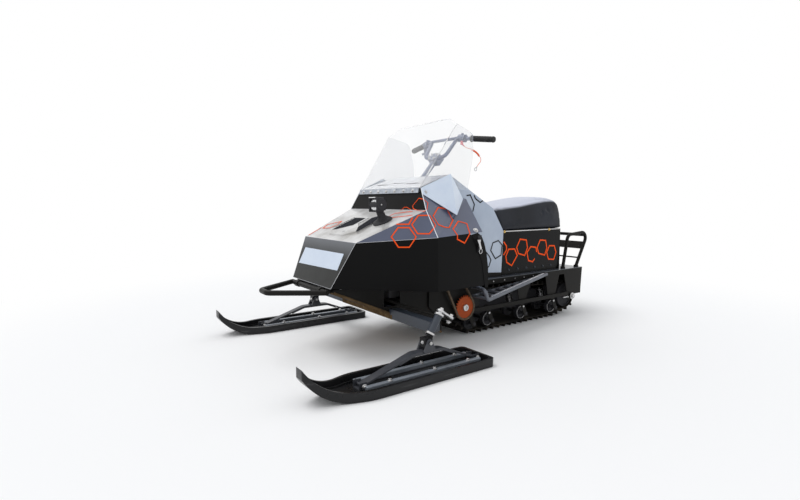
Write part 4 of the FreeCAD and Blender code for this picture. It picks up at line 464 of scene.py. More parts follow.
# The finishes: colour and what differs from a plain coat, each for the surfaces named over it
FINISHES = {
    # Satin black powder coat of the hood's lower sheets
    "black_powder_coat": dict(colour="black_sheet", amount=0.5, patch=4.0, roughness=0.42, spread=0.25,
                              specular=0.10, grain=1400.0, bump=0.00005, edge=0.0015),
    # Black sheet of the nose, with a painted shine towards its top
    "nose_enamel": dict(colour=(0.012, 0.0122, 0.0112), fade=(0.040, 0.043, 0.042), amount=0.7, patch=4.5,
                        roughness=0.35, specular=0.15, edge=0.0012, extra=add_nose_painted_shine),
    # Grey-blue satin paint of the hood facets
    "facet_blue_paint": dict(colour="facet_blue", amount=0.4, patch=3.0, roughness=0.34, specular=0.4,
                             coat=0.25, edge=0.0012),
    # Pale satin paint of the side shells
    "pale_shell_paint": dict(colour="shell_pale", fade=(0.56, 0.66, 0.84), amount=0.6, patch=5.5,
                             roughness=0.3, coat=0.3, edge=0.0012),
    # Glossy white of the dash cover
    "white_dash": dict(colour=(0.84, 0.85, 0.88), fade=(0.70, 0.73, 0.80), amount=0.5, patch=3.0,
                       roughness=0.25, coat=0.5, edge=0.0012),
    # Glossy hood top with cloudy grey-brown patches that are painted reflections
    "gloss_hood_top": dict(colour="top_white", fade=(0.26, 0.245, 0.22), amount=0.8, patch=5.5,
                           roughness=0.3, spread=0.2, metallic=0.1, coat=0.3, specular=0.3, bump=0.00003),
    # Black mesh in the hood top's vents
    "vent_mesh": dict(colour=(0.016, 0.016, 0.019), roughness=0.8, specular=0.0, extra=add_web),
    # Cooler grey paint of the console
    "console_paint": dict(colour="console_pale", fade=(0.33, 0.40, 0.52), amount=0.5, patch=5.0,
                          roughness=0.42, coat=0.15, edge=0.0012),
    # Pale paint of the thin wires along the hood's folded edges, a painted highlight where they catch the
    # light; also the steel of the tread teeth
    "folded_edge": dict(colour="steel", fade=(0.30, 0.33, 0.40), amount=0.6, patch=8.0, roughness=0.35,
                        metallic=0.4),
    # Pale paint of the thin wire along the cowl's edge, a painted highlight
    "white_edge": dict(colour=(0.80, 0.82, 0.86), roughness=0.35),
    # Mottled blue-grey steel of the windshield strip
    "strip_steel": dict(colour=(0.30, 0.33, 0.38), fade=(0.62, 0.66, 0.72), amount=0.9, patch=34.0,
                        roughness=0.3, metallic=0.7, scratch=0.3),
    # Pale enamel of the blank nose plate
    "nose_plate_enamel": dict(colour="plate_pale", fade=(0.50, 0.58, 0.72), patch=16.0, roughness=0.35,
                              coat=0.3),
    # Printed orange and black lines; the black also paints shade into the dash's slots
    "orange_line": dict(colour="line_orange", fade=(0.92, 0.085, 0.012), roughness=0.5, specular=0.06),
    "black_line": dict(colour=(0.006, 0.006, 0.007), roughness=0.45, specular=0.2),
    # Glossy black enamel of the seat box
    "seat_box_enamel": dict(colour="black_sheet", amount=0.5, patch=4.0, roughness=0.22, spread=0.2,
                            specular=0.12, edge=0.0012),
    # Vinyl of the seat, with a painted sheen where it faces up
    "seat_vinyl": dict(colour="seat_vinyl", fade=(0.026, 0.031, 0.044), amount=0.6, patch=3.0,
                       roughness=0.42, spread=0.12, specular=0.2, extra=add_seat_painted_sheen),
    # Dark warm grey paint of the frame
    "frame_paint": dict(colour="frame_grey", roughness=0.4, specular=0.10, film=0.10, film_top=0.3,
                        edge=0.0012, bump=0.00006),
    # Grey-blue deck that shines at a shallow view
    "deck_paint": dict(colour="beam_blue", fade=(0.10, 0.12, 0.15), amount=0.5, patch=5.0, roughness=0.3,
                       coat=0.35, film=0.15, film_top=0.5, edge=0.0012),
    # Worn painted steel of the footboards
    "tread_steel": dict(colour=(0.10, 0.11, 0.135), fade=(0.18, 0.19, 0.21), amount=0.7, patch=18.0,
                        roughness=0.36, metallic=0.5, scratch=0.5, stretch=(0.3, 1.0, 1.0), edge=0.0008),
    # Worn brown strip under the belly
    "belly_strip": dict(colour="belly_brown", fade=(0.04, 0.028, 0.018), amount=0.8, patch=20.0,
                        roughness=0.8, specular=0.0, scratch=0.4),
    # Grey-blue satin paint of the handlebar, made lighter and bluer by a painted reflection of the sky
    "handlebar_paint": dict(colour="bar_blue", amount=0.4, patch=12.0, roughness=0.34, coat=0.25,
                            edge=0.0008),
    # Dark grey-blue paint of the front beam and the kingpins' sleeves
    "beam_paint": dict(colour="beam_blue", amount=0.4, patch=9.0, roughness=0.36, film=0.15, film_top=0.3,
                       edge=0.001),
    # Black forks with zinc-plated stems and arms
    "spindle_finish": dict(colour="plastic", roughness=0.38, specular=0.15, edge=0.0008,
                           extra=add_steel_above),
    # Dark grey paint of the skis' spring bows
    "bow_paint": dict(colour="bow_grey", amount=0.4, patch=14.0, roughness=0.4, scratch=0.15, film=0.15,
                      film_top=0.2, edge=0.0008),
    # Grey-blue paint of the skis' runner bars
    "runner_paint": dict(colour=(0.22, 0.245, 0.28), fade=(0.10, 0.112, 0.13), amount=0.6, patch=14.0,
                         roughness=0.35, scratch=0.4, edge=0.0008),
    # Glossy black plastic of the skis with long scratches
    "ski_plastic": dict(colour="plastic", roughness=0.3, spread=0.3, specular=0.28, scratch=0.5,
                        stretch=(0.05, 1.0, 1.0)),
    # Moulded black plastic
    "black_plastic": dict(colour="plastic", roughness=0.36, specular=0.16, grain=1100.0),
    # Moulded rubber of the track, and the cleaner rubber of the hand grips
    "rubber": dict(colour="rubber", roughness=0.8, specular=0.1, grain=500.0, bump=0.0003, film=0.35,
                   film_top=0.4),
    "grip_rubber": dict(colour="rubber", roughness=0.6, specular=0.3, grain=700.0, bump=0.00015),
    # Burnt orange paint of the chain sprocket, and its oiled, slightly rusty chain
    "sprocket_paint": dict(colour="sprocket_orange", fade=(0.30, 0.055, 0.014), amount=0.7, patch=24.0,
                           roughness=0.5, specular=0.15),
    "chain_steel": dict(colour="chain_brown", fade=(0.07, 0.05, 0.035), amount=0.7, patch=50.0,
                        roughness=0.42, metallic=0.7, film=0.3),
    # Grey cast engine metal
    "cast_metal": dict(colour=(0.16, 0.16, 0.165), roughness=0.6, metallic=0.6, grain=300.0, bump=0.0003),
    # Zinc-plated steel, and yellow zinc plating
    "zinc_steel": dict(colour="steel", fade=(0.42, 0.41, 0.38), amount=0.5, patch=22.0, roughness=0.28,
                       metallic=1.0, scratch=0.2, edge=0.0006),
    "yellow_zinc": dict(colour="brass", roughness=0.3, metallic=1.0, patch=30.0),
    # Bright reflector behind the lamp's lenses
    "lamp_reflector": dict(colour=(0.86, 0.87, 0.88), fade=(0.55, 0.56, 0.60), amount=0.4, patch=60.0,
                           roughness=0.12, metallic=0.85, coat=1.0),
    # Plug and cord of the kill switch's lanyard
    "switch_plug": dict(colour="clip_pink", roughness=0.3, coat=0.3),
    "lanyard_plastic": dict(colour="cord_orange", roughness=0.32, coat=0.3),
}

# Clear sheet: share of light let through, its bending, two tints that it clouds between, and its haze
SHEET_CLEARNESS = 0.87
SHEET_IOR = 1.12
SHEET_TINTS = ((0.95, 0.955, 0.965, 1), (0.98, 0.985, 0.99, 1))
SHEET_HAZE = 0.03


def clear_sheet(name):
    """Clear windshield sheet with a faint cool tint."""
    material = bpy.data.materials.new(name)
    material.use_nodes = True
    tree = material.node_tree
    shader = tree.nodes["Principled BSDF"].inputs
    shader["Transmission Weight"].default_value = SHEET_CLEARNESS
    shader["IOR"].default_value = SHEET_IOR
    smear = noise_at(tree, object_place(tree), scale=5.0, detail=4.0)
    tree.links.new(mixed(tree, smear, *SHEET_TINTS), shader["Base Color"])
    tree.links.new(ranged(tree, smear, low=0.0, high=1.0, top=SHEET_HAZE), shader["Roughness"])
    return material


def plainly_seen(tree):
    """One for camera, glossy and transmission rays, and else zero."""
    path = add(tree, "LightPath").outputs
    seen = sum_of(tree, "MAXIMUM", path["Is Camera Ray"], path["Is Glossy Ray"])
    return sum_of(tree, "MAXIMUM", seen, path["Is Transmission Ray"])


# Floor: colour, gloss, and how far out it starts and ends to turn white
FLOOR_COLOUR = (0.93, 0.93, 0.935, 1)
FLOOR_ROUGHNESS = 0.9
FLOOR_SPECULAR = 0.1
FLOOR_FADE = (1.9, 3.4)
WHITE = (1, 1, 1, 1)


def snow_floor(name):
    """Pale floor that turns to plain white far from the machine."""
    material = bpy.data.materials.new(name)
    material.use_nodes = True
    tree = material.node_tree
    shader = tree.nodes["Principled BSDF"]
    shader.inputs["Base Color"].default_value = FLOOR_COLOUR
    shader.inputs["Roughness"].default_value = FLOOR_ROUGHNESS
    shader.inputs["Specular IOR Level"].default_value = FLOOR_SPECULAR
    white = add(tree, "Emission", {"Color": WHITE, "Strength": 1.0})
    far = add(tree, "VectorMath", {0: object_place(tree)}, operation="LENGTH")
    fade = ranged(tree, far.outputs["Value"], *FLOOR_FADE, interpolation_type="SMOOTHSTEP")
    share = sum_of(tree, "MULTIPLY", plainly_seen(tree), fade)
    mix = add(tree, "MixShader", {0: share, 1: shader.outputs[0], 2: white.outputs[0]})
    tree.links.new(mix.outputs[0], tree.nodes["Material Output"].inputs["Surface"])
    return material


# Finishes that aren't a coat
OTHER_FINISHES = {"clear_windshield": clear_sheet, "snow_white_floor": snow_floor}


def finish(name):
    """The material of a finish, built at its first use."""
    known = bpy.data.materials.get(name)
    if known:
        return known
    if name in OTHER_FINISHES:
        return OTHER_FINISHES[name](name)
    return coated(name, **FINISHES[name])


# Mesh helpers

def plain_object(name, bm, material):
    """An object from a bmesh with one finish."""
    mesh = bpy.data.meshes.new(name)
    bm.to_mesh(mesh)
    bm.free()
    mesh.materials.append(finish(material))
    obj = bpy.data.objects.new(name, mesh)
    bpy.context.scene.collection.objects.link(obj)
    return obj


def mesh_object(name, bm, material, body, sharp=None, outward=True):
    """A piece from a bmesh that rides on a body, smooth up to a sharp angle where one is given."""
    if outward:
        bmesh.ops.recalc_face_normals(bm, faces=bm.faces)
    obj = plain_object(name, bm, material)
    if sharp:
        obj.data.shade_smooth()
        obj.data.set_sharp_from_angle(angle=math.radians(sharp))
    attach(obj, body)
    return obj


def add_modifier(obj, kind, **values):
    """A modifier with its values set."""
    modifier = obj.modifiers.new(kind.lower(), kind)
    for key, value in values.items():
        setattr(modifier, key, value)
    return modifier


# Above this share a direction counts as upright; sides of a large turned piece
UPRIGHT_SHARE = 0.9
FINE_SIDES = 40


def axes_for(normal):
    """Two directions square to a normal, the first as near to upright as it can be."""
    normal = normal.normalized()
    side = UP_AXIS if abs(normal.z) < UPRIGHT_SHARE else FRONT_AXIS
    first = (side - normal * side.dot(normal)).normalized()
    return first, normal.cross(first)


def flipped(point):
    """The same point or direction on the other side of the machine."""
    return Vector((point.x, -point.y, point.z))


def loop(centre, u, v, count):
    """Points round a centre, on the ring with the half axes u and v."""
    angles = [2 * math.pi * k / count for k in range(count)]
    return [centre + u * math.cos(angle) + v * math.sin(angle) for angle in angles]


def bridge(bm, low, high):
    """Faces between two rings of the same count."""
    count = len(low)
    for i in range(count):
        j = (i + 1) % count
        bm.faces.new((low[i], low[j], high[j], high[i]))


def rings_into(bm, rings):
    """A closed form through rings of points of the same count."""
    rings = [[bm.verts.new(point) for point in ring] for ring in rings]
    for low, high in zip(rings, rings[1:]):
        bridge(bm, low, high)
    bm.faces.new(list(reversed(rings[0])))
    bm.faces.new(rings[-1])


def lathe_into(bm, profile, centre, axis, sides):
    """A turned form from (radius, distance along the axis) pairs, closed at both ends."""
    axis = axis.normalized()
    u, v = axes_for(axis)
    rings_into(bm, [loop(centre + axis * along, u * radius, v * radius, sides) for radius, along in profile])


def lathe(name, profile, centre, axis, material, body):
    """One turned piece."""
    bm = bmesh.new()
    lathe_into(bm, profile, centre, axis, sides=FINE_SIDES)
    return mesh_object(name, bm, material, body, sharp=35)


# Shares of a bolt head's radius and height: the outlines of its washer and of the head on it
WASHER_SHARES = ((1.55, 0.0), (1.55, 0.22), (1.4, 0.3))
HEAD_SHARES = ((1.0, 0.0), (1.0, 0.8), (0.84, 1.0))


def bolts(name, spots, size, body, material="zinc_steel", washer=True):
    """Hexagon heads, (radius, height) in size, at (point, direction) spots, in one mesh."""
    radius, height = size
    bm = bmesh.new()
    for point, direction in spots:
        direction = direction.normalized()
        if washer:
            lathe_into(bm, [(radius * r, height * h) for r, h in WASHER_SHARES], point, direction,
                       sides=20)
            point = point + direction * (height * WASHER_SHARES[-1][1])
        lathe_into(bm, [(radius * r, height * h) for r, h in HEAD_SHARES], point, direction, sides=6)
    return mesh_object(name, bm, material, body)


def tree_of(*nodes):
    """A search tree over the solids of some nodes, at rest."""
    points = []
    faces = []
    for node in nodes:
        mesh = frame["nodes"][node].data
        base = len(points)
        points += [v.co.copy() for v in mesh.vertices]
        faces += [[base + i for i in p.vertices] for p in mesh.polygons]
    return BVHTree.FromPolygons(points, faces)


# How far on both sides of a place its surface is looked for
PROBE_REACH = 0.4


def on_surface(nodes, point, direction):
    """Where a ray against a direction meets the solids of some nodes, and the face's outward normal."""
    direction = direction.normalized()
    start = point + direction * PROBE_REACH
    hit, normal, _, _ = tree_of(*nodes).ray_cast(start, -direction, PROBE_REACH * 2)
    if hit is None:
        raise RuntimeError("no surface under " + str([round(c, 3) for c in point]))
    return hit, normal if normal.dot(direction) > 0 else -normal


# How far an outline's corner is drawn in, step by step, where it just misses the sheet
DRAW_IN_SHARES = (0.0, 0.05, 0.1, 0.15, 0.2, 0.3, 0.4)


def pixels_on(tree, pixels):
    """Places on the solids that pixels show, and the faces' normals towards the camera."""
    origin = at(*CAMERA_PLACE)
    middle = Vector((sum(p[0] for p in pixels), sum(p[1] for p in pixels))) / len(pixels)
    places = []
    for pixel in pixels:
        for share in DRAW_IN_SHARES:
            hit, normal, _, _ = tree.ray_cast(origin, pixel_ray(Vector(pixel).lerp(middle, share)))
            if hit is not None:
                break
        else:
            raise RuntimeError("no surface at pixel " + str(pixel))
        places.append((hit, normal if normal.dot(origin - hit) >= 0 else -normal))
    return places


# Printed lines: length of a step along them, reach of the rays that lay them down, their lift over
# the sheet, the film's thickness, and the least share of a corner's width
LINE_STEP = 0.004
LINE_REACH = 0.12
LINE_LIFT = 0.0009
FILM_THICK = 0.0005
CORNER_SHARE = 0.3


def corner_at(points, i, closed, offset):
    """The flat corner point i moved sideways by an offset."""
    count = len(points)
    here = points[i]
    before = points[i - 1] if closed or i > 0 else None
    after = points[(i + 1) % count] if closed or i < count - 1 else None
    sides = []
    for a, b in ((before, here), (here, after)):
        if a is not None and b is not None:
            run = (b - a).normalized()
            sides.append(Vector((-run.y, run.x)))
    if len(sides) == 1:
        return here + sides[0] * offset
    middle = (sides[0] + sides[1]).normalized()
    return here + middle * (offset / max(CORNER_SHARE, middle.dot(sides[0])))


def line_into(bm, tree, places, width, closed):
    """A printed line laid over folded sheets along places on them."""
    count = len(places)
    centre = sum((p for p, _ in places), Vector()) / count
    normal = sum((n for _, n in places), Vector()).normalized()
    u, v = axes_for(normal)
    flat = [Vector(((p - centre).dot(u), (p - centre).dot(v))) for p, _ in places]
    sides = [[corner_at(flat, i, closed, side * width / 2) for i in range(count)] for side in (-1, 1)]

    def drop(spot):
        place = centre + u * spot.x + v * spot.y
        point, face, _, _ = tree.ray_cast(place + normal * LINE_REACH, -normal, 2 * LINE_REACH)
        if point is None:
            point, face, _, _ = tree.find_nearest(place)
        return bm.verts.new(point + face * (LINE_LIFT if face.dot(normal) > 0 else -LINE_LIFT))

    last = None
    for i in range(count if closed else count - 1):
        j = (i + 1) % count
        steps = max(1, math.ceil((flat[j] - flat[i]).length / LINE_STEP))
        for k in range(1 if last else 0, steps + 1):
            pair = [drop(side[i].lerp(side[j], k / steps)) for side in sides]
            if last:
                bm.faces.new((last[0], last[1], pair[1], pair[0]))
            last = pair


def printed_lines(name, nodes, shapes, width, material, body, mirrored=False):
    """Printed outlines as thin raised films on some nodes; each shape is (pixels, closed)."""
    tree = tree_of(*nodes)
    bm = bmesh.new()
    for pixels, closed in shapes:
        line_into(bm, tree, pixels_on(tree, pixels), width, closed)
    if mirrored:
        twin = bmesh.ops.duplicate(bm, geom=bm.verts[:] + bm.edges[:] + bm.faces[:])["geom"]
        for vertex in [item for item in twin if isinstance(item, bmesh.types.BMVert)]:
            vertex.co.y = -vertex.co.y
        bmesh.ops.reverse_faces(bm, faces=[item for item in twin if isinstance(item, bmesh.types.BMFace)])
    obj = mesh_object(name, bm, material, body, outward=False)
    add_modifier(obj, "SOLIDIFY", thickness=FILM_THICK, offset=-1.0)


def body_with(node):
    """The body that a node rides on."""
    return body_of(frame["nodes"][node])[0]


def both_sides(spots):
    """The same spots on both sides of the machine."""
    return list(spots) + [(flipped(point), flipped(direction)) for point, direction in spots]


def seated(nodes, places, direction):
    """Spots where the solids of some nodes lie under places, seen along a direction."""
    return [(on_surface(nodes, at(*place), direction)[0], direction) for place in places]


def spline_into(curve, kind, points, closed=False):
    """A spline of a curve with its points."""
    line = curve.splines.new(kind)
    line.points.add(len(points) - 1)
    for spot, point in zip(line.points, points):
        spot.co = (*point, 1.0)
    line.use_cyclic_u = closed
    if kind == "NURBS":
        line.order_u = 3
        line.use_endpoint_u = True


def round_curve(name, radius, steps, material):
    """A curve with a round section, a finish and no splines yet."""
    curve = bpy.data.curves.new(name, "CURVE")
    curve.dimensions = "3D"
    curve.bevel_depth = radius
    curve.bevel_resolution = steps
    curve.use_fill_caps = True
    curve.materials.append(finish(material))
    obj = bpy.data.objects.new(name, curve)
    bpy.context.scene.collection.objects.link(obj)
    return obj


# Smoothness of a trim's round section
SEAM_STEPS = 2


def seams(name, runs, radius, material, body):
    """Thin round trims along (points, closed) runs, in one piece."""
    obj = round_curve(name, radius, SEAM_STEPS, material)
    for points, closed in runs:
        spline_into(obj.data, "POLY", points, closed)
    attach(obj, body)


def block_into(bm, low, high):
    """A closed block between two corners."""
    xs, ys, zs = zip(low, high)
    v = [bm.verts.new((x, y, z)) for x in xs for y in ys for z in zs]
    for face in ((0, 1, 3, 2), (4, 6, 7, 5), (0, 4, 5, 1), (2, 3, 7, 6), (0, 2, 6, 4), (1, 5, 7, 3)):
        bm.faces.new([v[i] for i in face])


def bevelled(name, blocks, bevel, material, body):
    """Blocks with eased edges, in one piece."""
    bm = bmesh.new()
    for low, high in blocks:
        block_into(bm, low, high)
    obj = mesh_object(name, bm, material, body)
    add_modifier(obj, "BEVEL", width=bevel, segments=2)


def plane_through(places, way):
    """A point of the plane through three places, and its normal on the side that a way points to."""
    a, b, c = [at(*place) for place in places]
    normal = (b - a).cross(c - a).normalized()
    return a, normal if normal.dot(way) > 0 else -normal


def on_plane(pixel, plane, gap=0.0):
    """Where a pixel's ray meets the level a gap above a plane."""
    point, normal = plane
    origin = at(*CAMERA_PLACE)
    ray = pixel_ray(pixel)
    return origin + ray * ((point + normal * gap - origin).dot(normal) / ray.dot(normal))


def patches(name, outlines, plane, gap, thick, material, body, mirrored=True):
    """Flat sheets with outlines drawn on the photograph, a gap above a plane."""
    bm = bmesh.new()
    for outline in outlines:
        low = [on_plane(pixel, plane, gap) for pixel in outline]
        high = [point + plane[1] * thick for point in low]
        rings_into(bm, [low, high])
        if mirrored:
            rings_into(bm, [[flipped(point) for point in ring] for ring in (low, high)])
    mesh_object(name, bm, material, body)


# Stage: floor's place below the machine, tint of the sky, the sun's turns in degrees, and where the
# camera starts to see
FLOOR_DROP = 0.001
SKY_COLOUR = (0.97, 0.985, 1.0, 1)
SUN_TURN = (22, 14, 20)
CLIP_START = 0.05


class SNOWMOBILE_OT_stage(Operator):
    """Floor, soft light and the photograph's camera"""
    bl_idname = "snowmobile.stage"
    bl_label = "Stage"

    def execute(self, context):
        settings = context.scene.snowmobile_stage
        add_floor(settings)
        add_light(settings)
        add_camera(context)
        context.scene.view_settings.view_transform = "Standard"
        return {"FINISHED"}


def add_floor(settings):
    """A pale floor that fades to plain white far from the machine."""
    bm = bmesh.new()
    bmesh.ops.create_grid(bm, x_segments=8, y_segments=8, size=settings.floor_size)
    floor = plain_object("floor", bm, "snow_white_floor")
    floor.location.z = CAD_BOX[0][2] - FLOOR_DROP


def add_light(settings):
    """An even sky that shows white, and one soft sun."""
    world = bpy.data.worlds.new("studio_sky")
    bpy.context.scene.world = world
    world.use_nodes = True
    tree = world.node_tree
    sky = tree.nodes["Background"]
    sky.inputs["Strength"].default_value = settings.sky_level
    sky.inputs["Color"].default_value = SKY_COLOUR
    white = add(tree, "Background", {"Color": WHITE, "Strength": 1.0})
    mix = add(tree, "MixShader", {0: plainly_seen(tree), 1: sky.outputs[0], 2: white.outputs[0]})
    tree.links.new(mix.outputs[0], tree.nodes["World Output"].inputs["Surface"])
    sun = bpy.data.lights.new("soft_sun", "SUN")
    sun.energy = settings.key_level
    sun.angle = settings.key_angle
    sun_object = bpy.data.objects.new("soft_sun", sun)
    sun_object.rotation_euler = [math.radians(turn) for turn in SUN_TURN]
    bpy.context.scene.collection.objects.link(sun_object)


def add_camera(context):
    """The camera that took the photograph."""
    camera = bpy.data.cameras.new("photo_camera")
    camera.sensor_width = SENSOR_WIDTH
    camera.lens = FOCAL_PIXELS * SENSOR_WIDTH / IMAGE_WIDTH
    camera.clip_start = CLIP_START
    camera_object = bpy.data.objects.new("photo_camera", camera)
    camera_object.location = at(*CAMERA_PLACE)
    look = camera_axes()[0]
    camera_object.rotation_euler = look.to_track_quat("-Z", "Y").to_euler()
    context.scene.collection.objects.link(camera_object)
    context.scene.camera = camera_object


# The finish of each solid
NODE_FINISHES = {
    "black_powder_coat": ("hood_side_panels", "cowl_panel"),
    "nose_enamel": ("nose_panel",),
    "facet_blue_paint": ("hood_front_facets", "hood_rear_facets"),
    "pale_shell_paint": ("dash_shells",),
    "white_dash": ("dash_cover",),
    "console_paint": ("console",),
    "gloss_hood_top": ("hood_top",),
    "frame_paint": ("hood_hinges", "belly_pan", "engine_bearers", "bumper", "side_plates", "lower_rails",
                    "roller_arms", "rear_rack", "tow_hitch", "column_support", "tie_rod_left",
                    "tie_rod_right"),
    "deck_paint": ("deck",),
    "tread_steel": ("footboards",),
    "seat_box_enamel": ("seat_box",),
    "strip_steel": ("cowl_strip",),
    "handlebar_paint": ("handlebar", "handlebar_clamp", "steering_column", "kill_switch_block",
                        "throttle_block"),
    "beam_paint": ("front_beam",),
    "spindle_finish": ("spindle_left", "spindle_right"),
    "bow_paint": ("ski_bow_left", "ski_bow_right"),
    "zinc_steel": ("engine_sprocket", "lanyard_hook"),
    "seat_vinyl": ("seat",),
    "rubber": ("track", "snow_flap"),
    "grip_rubber": ("grips", "throttle_cable"),
    "black_plastic": ("headlamp", "headlamp_bracket", "track_wheels", "rear_axle", "drive_axle",
                      "hood_latches"),
    "ski_plastic": ("ski_left", "ski_right"),
    "sprocket_paint": ("chain_sprocket",),
    "chain_steel": ("chain",),
    "cast_metal": ("engine",),
    "clear_windshield": ("windshield",),
    "switch_plug": ("lanyard_clip",),
}


class SNOWMOBILE_OT_finishes(Operator):
    """A finish on every solid that shows"""
    bl_idname = "snowmobile.finishes"
    bl_label = "Finishes"

    def execute(self, context):
        for name, nodes in NODE_FINISHES.items():
            for node in nodes:
                for slot in frame["nodes"][node].material_slots:
                    slot.material = finish(name)
        return {"FINISHED"}


# The lanyard's route: distances out from its plug and heights, in an upright plane
LANYARD_TURN = math.radians(40.4)
LANYARD_X = -0.886
LANYARD_Y = 0.158
LANYARD_UPPER = ((0.008, 1.092), (0.017, 1.084), (0.030, 1.078), (0.044, 1.075))
LANYARD_COIL = ((0.054, 1.0695), (0.070, 1.0607), (0.086, 1.048), (0.098, 1.031))
LANYARD_LOWER = ((0.1052, 1.0208), (0.107, 1.007), (0.101, 0.994), (0.091, 0.984), (0.085, 0.9725))
LANYARD_DIAMETER = 0.003
LANYARD_COIL_DIAMETER = 0.012
LANYARD_TURNS = 19

# Smoothness of the cord, play between its coil and the solid coil's outside, points on each turn,
# and how many of them give way to the straight stretches at each end
CORD_STEPS = 3
COIL_GAP = 0.0002
COIL_POINTS = 12
COIL_CUT = 3


def lanyard_point(out, height):
    """A point of the lanyard's route."""
    return at(LANYARD_X - out * math.sin(LANYARD_TURN), LANYARD_Y + out * math.cos(LANYARD_TURN), height)


def smooth_line(points):
    """Places along the smooth curve that the points control."""
    curve = bpy.data.curves.new("route", "CURVE")
    curve.dimensions = "3D"
    spline_into(curve, "NURBS", points)
    holder = bpy.data.objects.new("route", curve)
    mesh = bpy.data.meshes.new_from_object(holder)
    places = [v.co.copy() for v in mesh.vertices]
    bpy.data.objects.remove(holder)
    bpy.data.curves.remove(curve)
    bpy.data.meshes.remove(mesh)
    return places


def helix_points(core, turns, radius):
    """Points that wind round a smooth core line."""
    lengths = [0.0]
    for a, b in zip(core, core[1:]):
        lengths.append(lengths[-1] + (b - a).length)
    points = []
    count = turns * COIL_POINTS
    side, _ = axes_for(core[1] - core[0])
    for i in range(count + 1):
        along = lengths[-1] * i / count
        k = max(j for j in range(len(lengths) - 1) if lengths[j] <= along)
        share = (along - lengths[k]) / (lengths[k + 1] - lengths[k])
        run = (core[k + 1] - core[k]).normalized()
        side = (side - run * side.dot(run)).normalized()
        angle = 2 * math.pi * i / COIL_POINTS
        spoke = side * math.cos(angle) + run.cross(side) * math.sin(angle)
        points.append(core[k].lerp(core[k + 1], share) + spoke * radius)
    return points


class SNOWMOBILE_OT_lanyard(Operator):
    """The coiled lanyard of the kill switch as one smooth cord"""
    bl_idname = "snowmobile.lanyard"
    bl_label = "Lanyard"

    def execute(self, context):
        upper = [lanyard_point(*p) for p in LANYARD_UPPER]
        core = smooth_line([lanyard_point(*p) for p in LANYARD_COIL])
        lower = [lanyard_point(*p) for p in LANYARD_LOWER]
        coil = helix_points(core, LANYARD_TURNS, (LANYARD_COIL_DIAMETER - LANYARD_DIAMETER) / 2 - COIL_GAP)
        points = upper + coil[COIL_CUT:-COIL_CUT] + lower
        cord = round_curve("lanyard", LANYARD_DIAMETER / 2, CORD_STEPS, "lanyard_plastic")
        cord.data.resolution_u = CORD_STEPS
        spline_into(cord.data, "NURBS", points)
        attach(cord, "steering")
        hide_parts("lanyard_upper_cord", "lanyard_coil", "lanyard_lower_cord")
        return {"FINISHED"}


# Printed outlines on the photograph, left side
HOOD_HEXAGONS = (
    (((391.3, 237.0), (398.0, 227.7), (409.3, 227.7), (416.0, 237.0), (409.3, 247.2), (398.3, 247.2)), True),
    (((411.7, 224.7), (418.3, 215.5), (429.7, 215.7), (435.3, 225.3), (429.3, 233.8), (417.5, 233.7)), True),
    (((396.3, 224.3), (408.7, 224.3), (412.5, 217.5)), False),
    (((433.0, 216.2), (438.0, 207.5), (447.0, 209.2), (453.0, 220.0), (449.2, 227.7), (438.3, 224.7)), True),
    (((453.0, 229.2), (458.3, 221.3), (466.7, 223.7), (470.5, 234.2), (464.5, 243.0), (457.2, 239.2)), True),
)
COWL_HEXAGONS = (
    (((413.4, 208.7), (412.9, 205.8), (419.1, 198.2), (423.9, 199.6), (427.8, 203.0), (426.8, 209.7),
      (423.9, 211.6)), True),
    (((400.0, 210.6), (404.3, 207.3), (407.2, 207.3), (411.0, 209.7)), False),
)
TOP_LINES = (
    (((390.0, 215.9), (395.2, 213.5), (412.5, 211.6)), False),
    (((391.4, 217.8), (412.5, 215.4)), False),
    (((322.9, 228.2), (327.5, 224.6), (341.7, 221.4), (337.5, 224.6), (330.0, 228.0)), True),
    (((308.5, 235.3), (321.5, 227.7)), False),
)
BOX_HEXAGONS = (
    (((503.6, 241.8), (506.3, 246.0), (506.4, 250.0), (503.4, 255.0)), False),
    (((508.5, 249.2), (514.5, 249.0), (517.0, 255.4), (511.5, 265.6), (506.5, 262.3), (505.7, 256.4)), True),
    (((520.0, 239.2), (526.2, 240.0), (527.3, 247.7), (524.5, 255.4), (518.2, 253.5), (516.5, 247.5)), True),
    (((534.5, 258.5), (532.5, 261.7), (528.3, 260.5), (526.8, 252.5), (530.5, 246.7), (535.7, 247.2),
      (536.5, 252.0)), False),
    (((540.0, 240.0), (545.5, 240.4), (546.7, 247.8), (544.5, 255.0), (538.5, 253.4), (537.0, 247.6)), True),
    (((549.2, 245.7), (554.1, 245.7), (555.8, 252.2), (553.5, 259.3), (548.2, 259.0), (546.5, 252.3)), True),
)
CONSOLE_HEXAGONS = (
    (((490.6, 250.5), (492.8, 242.8), (498.3, 240.6), (502.0, 245.0), (500.9, 255.0), (495.2, 258.7)), True),
    (((485.7, 251.8), (489.2, 256.2), (490.8, 260.0), (488.9, 266.2), (487.4, 267.7)), False),
    (((466.5, 195.6), (470.2, 194.9), (474.3, 204.5), (472.7, 211.5)), False),
    (((474.0, 195.2), (475.3, 198.4), (480.1, 202.5), (483.2, 200.6)), False),
)


class SNOWMOBILE_OT_hood_lines(Operator):
    """Orange outlines on the hood's facets, cowl and top"""
    bl_idname = "snowmobile.hood_lines"
    bl_label = "Hood Outlines"

    def execute(self, context):
        facets = ("hood_front_facets", "hood_rear_facets")
        printed_lines("hood_outlines", (*facets, "hood_side_panels", "hood_top"), HOOD_HEXAGONS,
                      sizes().hood_line, "orange_line", "hood", mirrored=True)
        printed_lines("cowl_outlines", ("cowl_panel", *facets, "hood_top"), COWL_HEXAGONS,
                      sizes().cowl_line, "orange_line", "hood")
        printed_lines("hood_top_outlines", ("hood_top",), TOP_LINES, sizes().hood_line, "orange_line", "hood")
        return {"FINISHED"}


